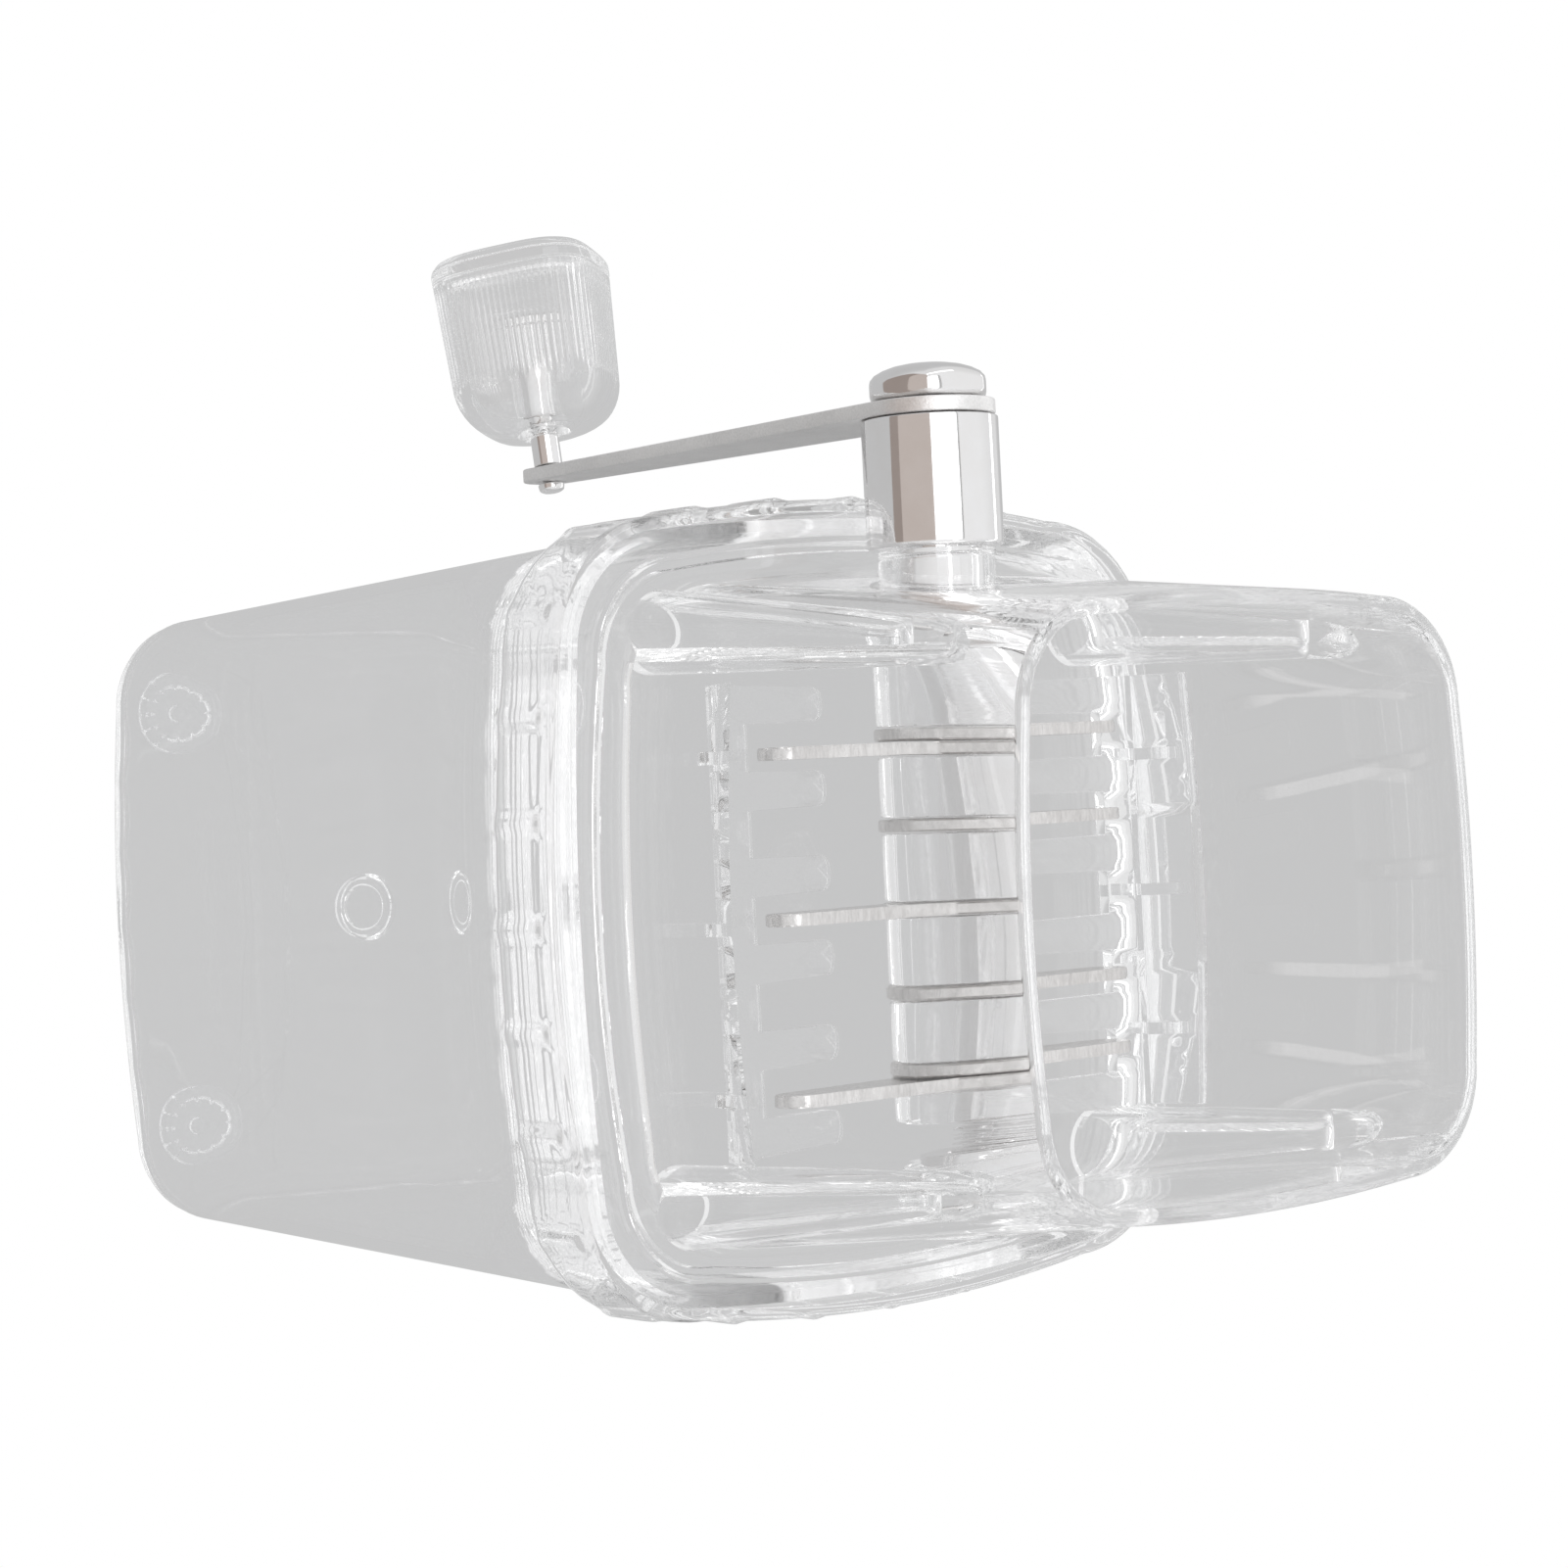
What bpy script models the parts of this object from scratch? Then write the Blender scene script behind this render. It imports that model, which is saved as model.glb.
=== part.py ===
"""Hand-crank crusher: clear tub, clear head with hopper, slatted combs and a
crank-driven blade rotor.

Frame: +Z up, origin on the surface it stands on, under the middle of the tub.
The crank is on the -X side and its shaft runs along X.  The front is -Y.
All driving sizes are in millimetres and are turned to metres on use.
"""
import math

import bmesh
import bpy
from mathutils import Matrix, Vector

MM = 0.001
GAP = 0.3                      # clearance between touching pieces

# ---- tub -----------------------------------------------------------------
TUB_WALL = 2.3
TUB_BOTTOM_Z = 3.3             # underside, above the feet
TUB_FLOOR = 2.4
TUB_RIM_Z = 159.0
TUB_BOTTOM_HALF = 60.0         # half width low on the wall, at mid side
TUB_RIM_HALF = 64.6
TUB_BOTTOM_R, TUB_RIM_R = 17.0, 21.0
TUB_BOW = 2.0                  # how far each side bulges past its ends
GATE_R = 6.2                   # round moulding pad under the middle
FOOT_X, FOOT_Y = 40.0, 38.5
FOOT_R, FOOT_H = 7.8, 3.0

# ---- head: skirt, flange, hopper -----------------------------------------
HEAD_HALF_X, HEAD_HALF_Y = 67.8, 69.3
HEAD_R, HEAD_BOW = 24.0, 3.2
SKIRT_Z = 146.2
SKIRT_WALL = 2.0
RIB_PROUD = 0.6                # small upright ribs all round the skirt
RIB_SPAN = 0.405               # pitch, as a share of a side's straight half
RIB_HALF = 0.075               # half width of one rib, same share
RIB_CORNER = math.radians(21.8)   # ribs on each corner, from the side's end
RIB_CORNER_HALF = math.radians(7.2)
FLANGE_Z = 161.7
FLANGE_T = 2.3
STEP_IN = 7.0                  # raised step, in from the flange edge
STEP_H = 1.9
HOP_X, HOP_Y = 56.3, 57.4      # hopper foot, outside
HOP_R, HOP_BOW = 19.0, 2.0
MOUTH_X, MOUTH_Y = 46.2, 49.2  # hopper mouth, outside
MOUTH_R, MOUTH_BOW = 16.5, 1.4
MOUTH_Z = 245.5
HOP_WALL = 2.5
POST_R0, POST_R1 = 7.0, 3.3    # tapered corner posts
POST_BASE = (45.6, 46.4)
POST_TIP = (39.4, 42.6)
POST_TOP_Z = 229.0
BUSH_HOLE_R = 9.9

# ---- shaft line ----------------------------------------------------------
SHAFT_Z = 177.5
ROTOR_X = 0.7                  # middle of the blade stack
PITCH = 13.55                  # blade station spacing
BLADE_T = 2.0
BLADE_HUB_R = 10.9
BLADE_TIP_R = 37.5
BLADE_ROOT_HALF, BLADE_TIP_HALF = 5.4, 3.6
SPACER_R = 10.45
ROD_R = 4.0
BORE_R = ROD_R + GAP
JOURNAL_R = 6.0
BUSH_R = 9.6
BUSH_IN, BUSH_OUT = -49.8, -57.5
COLLAR_R, COLLAR_L = 11.0, 2.6
ENDNUT_R = 6.8
ENDNUT_X0, ENDNUT_X1 = 41.6, 49.5
SLEEVE_R = 11.25
SLEEVE_X0, SLEEVE_X1 = -78.9, -57.8

# ---- crank arm, knob -----------------------------------------------------
ARM_X0, ARM_X1 = -81.7, -79.2
ARM_HUB_R = 10.9
ARM_END_R = 5.0
ARM_LEN = 105.6
NUT_R = 9.7                    # half across its six flats
NUT_TURN = math.radians(42.5)
PIN_R = 2.65
KNOB_DROOP = math.radians(9.0) # the loose knob pin sags below the shaft line
STUD_R, STUD_HOLE_R = 1.7, 2.15 # riveted end of the pin, through the arm
KNOB_S0, KNOB_S1 = 7.3, 36.8   # along the pin, from the arm's middle
KNOB_R0, KNOB_R1 = 14.5, 15.4
KNOB_TURN = math.radians(37.0) # where its flats stand at rest
CAP_END = 41.8

# ---- combs ---------------------------------------------------------------
COMB_HALF = 36.6
COMB_T = 2.2
COMB_ROOT_Y, COMB_ROOT_Z = 45.4, 175.8   # fold between shelf and apron
COMB_SLOT_Y = 38.4             # where the slots between the fingers end
COMB_TIP_Y, COMB_TIP_Z = 20.6, 172.4
COMB_WALL_Z = 185.0
TOOTH_W = 6.2
REAR_RIBS = (-22.7, 0.7, 24.7)
FRONT_RIBS = (-25.0, 1.3, 27.6)


# ---------------------------------------------------------------- helpers
for ob in list(bpy.data.objects):
    bpy.data.objects.remove(ob, do_unlink=True)


def material(name, color, rough, metal, alpha=1.0):
    m = bpy.data.materials.new(name)
    m.use_nodes = True
    b = m.node_tree.nodes["Principled BSDF"]
    b.inputs["Base Color"].default_value = (*color, 1.0)
    b.inputs["Roughness"].default_value = rough
    b.inputs["Metallic"].default_value = metal
    b.inputs["Alpha"].default_value = alpha
    m.diffuse_color = (*color, alpha)
    return m


CLEAR = ((0.80, 0.82, 0.83), 0.08, 0.0, 0.45)
CHROME = ((0.86, 0.86, 0.87), 0.06, 1.0, 1.0)
STEEL = ((0.56, 0.55, 0.54), 0.38, 1.0, 1.0)


def finish(name, bm, look, location=(0, 0, 0), parent=None, smooth=True):
    """Turn a bmesh in millimetres, about `location`, into a named object."""
    bmesh.ops.recalc_face_normals(bm, faces=bm.faces)
    bmesh.ops.scale(bm, vec=(MM, MM, MM), verts=bm.verts)
    me = bpy.data.meshes.new(name)
    bm.to_mesh(me)
    bm.free()
    ob = bpy.data.objects.new(name, me)
    bpy.context.scene.collection.objects.link(ob)
    if smooth:
        me.shade_smooth()
        me.set_sharp_from_angle(angle=math.radians(35))
    color, rough, metal, alpha = look
    me.materials.append(material(name + "_mat", color, rough, metal, alpha))
    if parent is not None:
        ob.parent = parent
    ob.location = Vector(location) * MM
    return ob


def guide(name, location, rotation=None, parent=None):
    e = bpy.data.objects.new(name, None)
    e.empty_display_size = 0.02
    bpy.context.scene.collection.objects.link(e)
    e.location = Vector(location) * MM
    if rotation:
        e.rotation_euler = rotation
    if parent is not None:
        e.parent = parent
    return e


def rib_stations():
    """Where ring points stand along a side and round a corner, with 1 on a rib."""
    side = [(-1.0, 0.0)]
    for k in range(-2, 3):
        c = k * RIB_SPAN
        side += [(c - RIB_HALF, 0.0), (c, 1.0), (c + RIB_HALF, 0.0)]
    q, h = RIB_CORNER, RIB_CORNER_HALF
    first = [(0.0, 0.0), (q - h, 0.0), (q, 1.0), (q + h, 0.0), (math.pi / 4, 0.0)]
    last = [(math.pi / 2 - a, w) for a, w in reversed(first[1:4])]
    return side, first + last


def rounded(hx, hy, r, bow, z, nc=5, ns=6, stations=None, proud=0.0):
    """One ring of a rounded square whose sides bulge by `bow` at the middle."""
    pts = []
    ax, ay = hx - bow - r, hy - bow - r
    if stations:
        side, corner = stations
    else:
        side = [(-1.0 + 2.0 * i / ns, 0.0) for i in range(ns)]
        corner = [(math.pi / 2 * i / nc, 0.0) for i in range(nc)]
    for k in range(4):
        c, s = ((1, 0), (0, 1), (-1, 0), (0, -1))[k]
        along = ay if k % 2 == 0 else ax
        out = hx if k % 2 == 0 else hy
        for t, w in side:
            d = out - bow * t * t + proud * w
            a = along * t
            pts.append((c * d - s * a, s * d + c * a, z))
        cx, cy = (ax, ay) if k % 2 == 0 else (ay, ax)
        for th, w in corner:
            rr = r + proud * w
            u, v = cx + rr * math.cos(th), cy + rr * math.sin(th)
            pts.append((c * u - s * v, s * u + c * v, z))
    return pts


def circle_like(ring, r, z):
    out = []
    for x, y, _ in ring:
        th = math.atan2(y, x)
        out.append((r * math.cos(th), r * math.sin(th), z))
    return out


def loft(rings, closed_profile=False):
    bm = bmesh.new()
    loops = [[bm.verts.new(p) for p in ring] for ring in rings]
    n = len(loops[0])
    pairs = list(zip(loops, loops[1:]))
    if closed_profile:
        pairs.append((loops[-1], loops[0]))
    for a, b in pairs:
        for i in range(n):
            j = (i + 1) % n
            bm.faces.new((a[i], a[j], b[j], b[i]))
    if not closed_profile:
        bm.faces.new(loops[0])
        bm.faces.new(loops[-1])
    return bm


def turned(profile, seg, axis="X", closed=False, section=None):
    """Turn (along, radius) points about an axis.  A closed profile makes a
    ring; an open one runs from axis to axis.  `section` bends the circle."""
    bm = bmesh.new()

    def place(a, r, th):
        if section is not None:
            r = r * section(a, r, th)
        u, v = r * math.cos(th), r * math.sin(th)
        return (a, u, v) if axis == "X" else (u, v, a)

    rows = []
    for a, r in profile:
        if r <= 1e-9:
            rows.append([bm.verts.new(place(a, 0.0, 0.0))])
        else:
            rows.append([bm.verts.new(place(a, r, 2 * math.pi * i / seg))
                         for i in range(seg)])
    pairs = list(zip(rows, rows[1:]))
    if closed:
        pairs.append((rows[-1], rows[0]))
    for p, q in pairs:
        for i in range(seg):
            j = (i + 1) % seg
            if len(p) == 1 and len(q) == 1:
                continue
            if len(p) == 1:
                bm.faces.new((p[0], q[i], q[j]))
            elif len(q) == 1:
                bm.faces.new((p[i], p[j], q[0]))
            else:
                bm.faces.new((p[i], p[j], q[j], q[i]))
    return bm


def ring(a0, a1, r_in, r_out, seg, axis="X", chamfer=0.0):
    c = chamfer
    if c:
        prof = [(a0, r_in), (a0, r_out - c), (a0 + c, r_out),
                (a1 - c, r_out), (a1, r_out - c), (a1, r_in)]
    else:
        prof = [(a0, r_in), (a0, r_out), (a1, r_out), (a1, r_in)]
    return turned(prof, seg, axis, closed=True)


def cutter(name, bm, location=(0, 0, 0)):
    bmesh.ops.recalc_face_normals(bm, faces=bm.faces)
    bmesh.ops.scale(bm, vec=(MM, MM, MM), verts=bm.verts)
    me = bpy.data.meshes.new(name)
    bm.to_mesh(me)
    bm.free()
    ob = bpy.data.objects.new(name, me)
    bpy.context.scene.collection.objects.link(ob)
    ob.location = Vector(location) * MM
    ob.hide_render = True
    ob.display_type = "WIRE"
    return ob


def boolean(ob, tool, op):
    mod = ob.modifiers.new(op.lower(), "BOOLEAN")
    mod.operation = op
    mod.object = tool
    return mod


def lerp(a, b, t):
    return a + (b - a) * t


# ---------------------------------------------------------------- the tub
def tub():
    bz, fz = TUB_BOTTOM_Z, TUB_BOTTOM_Z + TUB_FLOOR
    r0, r1 = TUB_BOTTOM_R, TUB_RIM_R
    w = TUB_WALL
    H0, H1 = TUB_BOTTOM_HALF, TUB_RIM_HALF

    def at(z):
        t = (z - 10.0) / (TUB_RIM_Z - 10.0)
        return lerp(H0, H1, t), lerp(r0, r1, t)

    rings = []
    base = rounded(H0 - 5.0, H0 - 5.0, r0 - 5.0, TUB_BOW, bz)
    rings.append(circle_like(base, GATE_R, 0.0))
    rings.append(circle_like(base, GATE_R, bz))
    rings.append(base)
    rings.append(rounded(H0 - 1.7, H0 - 1.7, r0 - 1.7, TUB_BOW, bz + 1.5))
    h, r = at(bz + 5.0)
    rings.append(rounded(h, h, r, TUB_BOW, bz + 5.0))
    h, r = at(80.0)
    rings.append(rounded(h, h, r, TUB_BOW, 80.0))
    h, r = at(TUB_RIM_Z)
    rings.append(rounded(h, h, r, TUB_BOW, TUB_RIM_Z - 0.6))
    rings.append(rounded(h - 0.6, h - 0.6, r - 0.6, TUB_BOW, TUB_RIM_Z))
    rings.append(rounded(h - w + 0.5, h - w + 0.5, r - w, TUB_BOW, TUB_RIM_Z))
    rings.append(rounded(h - w, h - w, r - w, TUB_BOW, TUB_RIM_Z - 0.7))
    h, r = at(80.0)
    rings.append(rounded(h - w, h - w, r - w, TUB_BOW, 80.0))
    h, r = at(fz + 4.0)
    rings.append(rounded(h - w, h - w, r - w, TUB_BOW, fz + 4.0))
    rings.append(rounded(H0 - w - 4.0, H0 - w - 4.0, r0 - w - 3.0, TUB_BOW, fz))
    return finish("container", loft(rings), CLEAR)


def feet():
    k = 0
    for sy in (-1, 1):
        for sx in (-1, 1):
            k += 1
            prof = [(FOOT_H, 0.0), (FOOT_H, FOOT_R), (0.7, FOOT_R),
                    (0.0, FOOT_R - 0.7), (0.0, FOOT_R - 2.2),
                    (0.8, FOOT_R - 2.8), (0.8, 0.0)]
            finish("foot_pad_%d" % k, turned(prof, 20, "Z"), CLEAR,
                   (sx * FOOT_X, sy * FOOT_Y, 0))


# --------------------------------------------------------------- the head
def hopper_out(z):
    t = (z - (FLANGE_Z + STEP_H)) / (MOUTH_Z - (FLANGE_Z + STEP_H))
    return (lerp(HOP_X - 1.0, MOUTH_X, t), lerp(HOP_Y - 1.0, MOUTH_Y, t),
            lerp(HOP_R - 1.0, MOUTH_R, t), lerp(HOP_BOW, MOUTH_BOW, t))


def head():
    X, Y, R, B = HEAD_HALF_X, HEAD_HALF_Y, HEAD_R, HEAD_BOW
    fz, ft = FLANGE_Z, FLANGE_T
    pz = fz + STEP_H
    n = dict(stations=rib_stations())
    sk = dict(proud=RIB_PROUD)

    def R4(hx, hy, r, b, z, **k):
        return rounded(hx, hy, r, b, z, **n, **k)

    def inset(d, z, **k):
        return R4(X - d, Y - d, R - d, B, z, **k)

    rings = [
        inset(0.0, SKIRT_Z, **sk),
        inset(0.2, fz - 2.2, **sk),
        inset(0.5, fz - 1.0),
        inset(1.6, fz),
        inset(STEP_IN, fz),
        inset(STEP_IN + 0.3, pz),
        R4(HOP_X, HOP_Y, HOP_R, HOP_BOW, pz),
    ]
    hx, hy, r, b = hopper_out(pz + 1.3)
    rings.append(R4(hx, hy, r, b, pz + 1.3))
    for z in (200.0, MOUTH_Z - 0.8):
        hx, hy, r, b = hopper_out(z)
        rings.append(R4(hx, hy, r, b, z))
    hx, hy, r, b = hopper_out(MOUTH_Z)
    rings.append(R4(hx - 0.7, hy - 0.7, r - 0.7, b, MOUTH_Z))
    w = HOP_WALL
    rings.append(R4(hx - w + 0.7, hy - w + 0.7, r - w + 0.7, b, MOUTH_Z))
    for z in (MOUTH_Z - 0.8, 200.0, pz - ft):
        hx, hy, r, b = hopper_out(z)
        rings.append(R4(hx - w, hy - w, r - w, b, z))
    rings += [
        inset(STEP_IN + ft, pz - ft),
        inset(STEP_IN + ft - 0.3, fz - ft),
        inset(SKIRT_WALL + 0.8, fz - ft),
        inset(SKIRT_WALL, fz - ft - 1.0),
        inset(SKIRT_WALL - 0.2, SKIRT_Z),
    ]
    ob = finish("head_housing", loft(rings, closed_profile=True), CLEAR)

    # tapered posts moulded into the four corners
    for sy in (-1, 1):
        for sx in (-1, 1):
            bm = bmesh.new()
            rows = []
            z0, seg = pz - ft, 12
            steps = [(0.0, 1.0), (0.5, 1.0), (0.9, 1.0), (0.965, 0.8), (0.99, 0.45)]
            for t, k in steps:
                z = lerp(z0, POST_TOP_Z, t)
                cx = sx * lerp(POST_BASE[0], POST_TIP[0], t)
                cy = sy * lerp(POST_BASE[1], POST_TIP[1], t)
                rr = lerp(POST_R0, POST_R1, t) * k
                rows.append([bm.verts.new((cx + rr * math.cos(2 * math.pi * (i + .5) / seg),
                                           cy + rr * math.sin(2 * math.pi * (i + .5) / seg), z))
                             for i in range(seg)])
            for p, q in zip(rows, rows[1:]):
                for i in range(seg):
                    j = (i + 1) % seg
                    bm.faces.new((p[i], p[j], q[j], q[i]))
            bm.faces.new(rows[0])
            bm.faces.new(rows[-1])
            tool = cutter("post_tool_%+d%+d" % (sx, sy), bm)
            boolean(ob, tool, "UNION")
    for sx in (-1, 1):
        bore = turned([(-8, 0), (-8, BUSH_HOLE_R), (8, BUSH_HOLE_R), (8, 0)], 28, "X")
        boolean(ob, cutter("bush_hole_%+d" % sx, bore, (sx * 53.5, 0, SHAFT_Z)), "DIFFERENCE")
    return ob


def wall_in_y(x, z):
    """Inside of the hopper's front or rear wall at x, as a distance from the middle."""
    hx, hy, r, b = hopper_out(z)
    ax, ri = hx - b - r, r - HOP_WALL
    if abs(x) <= ax:
        return hy - HOP_WALL - b * (x / ax) ** 2
    return hy - b - r + math.sqrt(ri * ri - (abs(x) - ax) ** 2)


def comb(name, side, ribs):
    """Slatted plate: a sloping apron along the wall with six fingers between
    the blade stations.  side is +1 at the rear and -1 at the front."""
    bm = bmesh.new()
    teeth = [ROTOR_X + PITCH * (i - 2.5) for i in range(6)]
    xs = {ROTOR_X - COMB_HALF, ROTOR_X + COMB_HALF}
    for c in teeth:
        xs.update((c - TOOTH_W / 2, c + TOOTH_W / 2))
    xs = sorted(xs)

    def v(x, y, z):
        return bm.verts.new((x, side * y, z))

    def plate_y(x):
        return wall_in_y(x, COMB_WALL_Z) - GAP - 0.2

    wall = [v(x, plate_y(x), COMB_WALL_Z) for x in xs]
    root = [v(x, COMB_ROOT_Y, COMB_ROOT_Z) for x in xs]
    for i in range(len(xs) - 1):
        bm.faces.new((wall[i], wall[i + 1], root[i + 1], root[i]))
    slope = (COMB_ROOT_Z - COMB_TIP_Z) / (COMB_ROOT_Y - COMB_TIP_Y)
    shelf_z = COMB_TIP_Z + slope * (COMB_SLOT_Y - COMB_TIP_Y)
    slot = [v(x, COMB_SLOT_Y, shelf_z) for x in xs]
    for i in range(len(xs) - 1):
        bm.faces.new((root[i], root[i + 1], slot[i + 1], slot[i]))
    for c in teeth:
        i = xs.index(c - TOOTH_W / 2)
        w = TOOTH_W / 2
        tip = []
        for dx, dy in ((-w + 0.25, 2.2), (-w + 0.9, 0.8), (-w + 1.9, 0.0),
                       (w - 1.9, 0.0), (w - 0.9, 0.8), (w - 0.25, 2.2)):
            y = COMB_TIP_Y + dy
            tip.append(v(c + dx, y, COMB_TIP_Z + slope * dy))
        bm.faces.new([slot[i]] + tip + [slot[i + 1]])
    got = bmesh.ops.extrude_face_region(bm, geom=bm.faces[:])
    moved = [g for g in got["geom"] if isinstance(g, bmesh.types.BMVert)]
    bmesh.ops.translate(bm, vec=(0, 0, -COMB_T), verts=moved)
    bmesh.ops.triangulate(bm, faces=bm.faces)
    ob = finish(name, bm, CLEAR, smooth=False)
    for k, x in enumerate(ribs):
        rb = bmesh.new()
        t = 1.0
        out = plate_y(x) - 0.6
        prof = [(COMB_ROOT_Y + 0.7, COMB_ROOT_Z - 0.6),
                (out, COMB_WALL_Z - 1.9),
                (out, COMB_WALL_Z - 13.0),
                (COMB_ROOT_Y + 3.5, COMB_ROOT_Z - 9.0)]
        a = [rb.verts.new((x - t, side * y, z)) for y, z in prof]
        b = [rb.verts.new((x + t, side * y, z)) for y, z in prof]
        rb.faces.new(a)
        rb.faces.new(b)
        for i in range(4):
            j = (i + 1) % 4
            rb.faces.new((a[i], a[j], b[j], b[i]))
        boolean(ob, cutter("%s_rib_%d" % (name, k), rb), "UNION")
    return ob


def bushes():
    finish("bearing_bush_left",
           ring(BUSH_OUT, BUSH_IN, JOURNAL_R + GAP, BUSH_R, 28, chamfer=0.4),
           CLEAR, (0, 0, SHAFT_Z))
    prof = [(54.2, 0.0), (54.2, BUSH_R), (43.8, BUSH_R), (43.8, ENDNUT_R + GAP),
            (50.4, ENDNUT_R + GAP), (50.4, 0.0)]
    finish("bearing_bush_right", turned(prof, 28), CLEAR, (0, 0, SHAFT_Z))


# -------------------------------------------------------------- the rotor
def blade_outline(n_hub=14):
    """Hub disc with one long finger toward +Y, as (angle, radius) pairs."""
    a0 = math.asin(BLADE_ROOT_HALF / BLADE_HUB_R)
    pts = []
    half, tip, tw = BLADE_ROOT_HALF, BLADE_TIP_R, BLADE_TIP_HALF
    finger = [(BLADE_HUB_R * math.cos(a0), half), (tip - 5.0, tw + 0.35),
              (tip - 2.2, tw - 0.5), (tip - 0.6, tw * 0.55), (tip, 0.0)]
    up = [(math.atan2(v, u), math.hypot(u, v)) for u, v in finger]
    for i in range(n_hub + 1):
        pts.append((a0 + (2 * math.pi - 2 * a0) * i / n_hub, BLADE_HUB_R))
    pts = pts[:-1]
    upper = [(a, r) for a, r in reversed(up)]          # tip .. root, above
    lower = [(-a, r) for a, r in up[:-1]]              # root .. near tip, below
    out = upper[:-1] + pts + lower
    return out


def blade(name, x_mid, toward, parent):
    bm = bmesh.new()
    t = BLADE_T / 2
    loops = []
    for x, inner in ((-t, False), (t, False), (t, True), (-t, True)):
        row = []
        for a, r in blade_outline():
            rr = BORE_R if inner else r
            row.append(bm.verts.new((x, toward * rr * math.cos(a), rr * math.sin(a))))
        loops.append(row)
    n = len(loops[0])
    for k in range(4):
        p, q = loops[k], loops[(k + 1) % 4]
        for i in range(n):
            j = (i + 1) % n
            bm.faces.new((p[i], p[j], q[j], q[i]))
    return finish(name, bm, STEEL, (x_mid, 0, 0), parent, smooth=False)


def rotor(axis):
    prof = [(-85.2, 0.0), (-85.2, ROD_R), (BUSH_OUT, ROD_R), (BUSH_OUT, JOURNAL_R),
            (BUSH_IN, JOURNAL_R), (BUSH_IN, ROD_R), (49.2, ROD_R), (49.2, 0.0)]
    finish("rotor_shaft", turned(prof, 20), CHROME, (0, 0, 0), axis)
    c0 = BUSH_IN + GAP
    finish("thrust_collar", ring(c0, c0 + COLLAR_L, BORE_R, COLLAR_R, 28, chamfer=0.3),
           CHROME, (0, 0, 0), axis)
    stations = [ROTOR_X + PITCH * (i - 2) for i in range(5)]
    half_pair = BLADE_T + GAP / 2
    half_one = BLADE_T / 2
    rear, front = 1, -1
    stack = [(stations[0] - BLADE_T / 2 - GAP / 2, rear),
             (stations[0] + BLADE_T / 2 + GAP / 2, front),
             (stations[1], rear), (stations[2], front), (stations[3], rear),
             (stations[4] - BLADE_T / 2 - GAP / 2, rear),
             (stations[4] + BLADE_T / 2 + GAP / 2, front)]
    for k, (x, d) in enumerate(stack, 1):
        blade("blade_%d" % k, x, d, axis)
    halves = [half_pair, half_one, half_one, half_one, half_pair]
    edges = [c0 + COLLAR_L]
    for s, h in zip(stations, halves):
        edges += [s - h, s + h]
    edges.append(35.2 + GAP)
    for k in range(6):
        a, b = edges[2 * k] + GAP, edges[2 * k + 1] - GAP
        finish("spacer_%d" % (k + 1), ring(a, b, BORE_R, SPACER_R, 22), CLEAR,
               (0, 0, 0), axis)
    finish("end_nut", ring(ENDNUT_X0, ENDNUT_X1, BORE_R, ENDNUT_R, 24, chamfer=0.5),
           CHROME, (0, 0, 0), axis)


# -------------------------------------------------------------- the crank
def crank(axis):
    finish("crank_sleeve", ring(SLEEVE_X0, SLEEVE_X1, BORE_R, SLEEVE_R, 32, chamfer=0.4),
           CHROME, (0, 0, 0), axis)
    def flats(a, r, th):
        if r < 6.5:
            return 1.0
        p = (th - NUT_TURN + math.pi / 6) % (math.pi / 3) - math.pi / 6
        return min(1.0, NUT_R / math.cos(p) / r)

    prof = [(-88.0, 0.0), (-87.8, 3.4), (-87.2, 6.2), (-86.1, 8.8), (-84.9, NUT_R + 0.9),
            (-82.8, NUT_R + 0.9), (-82.0, NUT_R - 0.6), (-82.0, BORE_R), (-85.5, BORE_R),
            (-85.5, 0.0)]
    finish("crank_cap_nut", turned(prof, 36, section=flats), CHROME, (0, 0, 0), axis)

    # arm: a flat bar hanging from the hub, narrower at the knob end
    bm = bmesh.new()
    pts = []
    d = ARM_LEN
    spread = math.asin((ARM_HUB_R - ARM_END_R) / d)
    n = 18
    for i in range(n + 1):
        a = -spread + (math.pi + 2 * spread) * i / n
        pts.append((ARM_HUB_R * math.cos(a), ARM_HUB_R * math.sin(a)))
    n = 8
    for i in range(n + 1):
        a = math.pi + spread + (math.pi - 2 * spread) * i / n
        pts.append((ARM_END_R * math.cos(a), -d + ARM_END_R * math.sin(a)))
    a = [bm.verts.new((ARM_X0, y, z)) for y, z in pts]
    b = [bm.verts.new((ARM_X1, y, z)) for y, z in pts]
    bm.faces.new(a)
    bm.faces.new(b)
    for i in range(len(pts)):
        j = (i + 1) % len(pts)
        bm.faces.new((a[i], a[j], b[j], b[i]))
    arm = finish("crank_arm", bm, STEEL, (0, 0, 0), axis, smooth=False)
    for nm, z, r in (("hub", 0.0, BORE_R), ("pin", -d, STUD_HOLE_R)):
        hole = turned([(-5, 0), (-5, r), (5, r), (5, 0)], 20)
        tool = cutter("arm_hole_" + nm, hole)
        tool.parent = axis
        tool.location = Vector(((ARM_X0 + ARM_X1) / 2, 0, z)) * MM
        boolean(arm, tool, "DIFFERENCE")


def squarish(power):
    def f(a, r, th):
        if r < 6.0:
            return 1.0
        k = min(1.0, (r - 6.0) / 6.0)
        p = 2.0 + (power - 2.0) * k
        q = th - KNOB_TURN
        return (abs(math.cos(q)) ** p + abs(math.sin(q)) ** p) ** (-1.0 / p)
    return f


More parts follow.
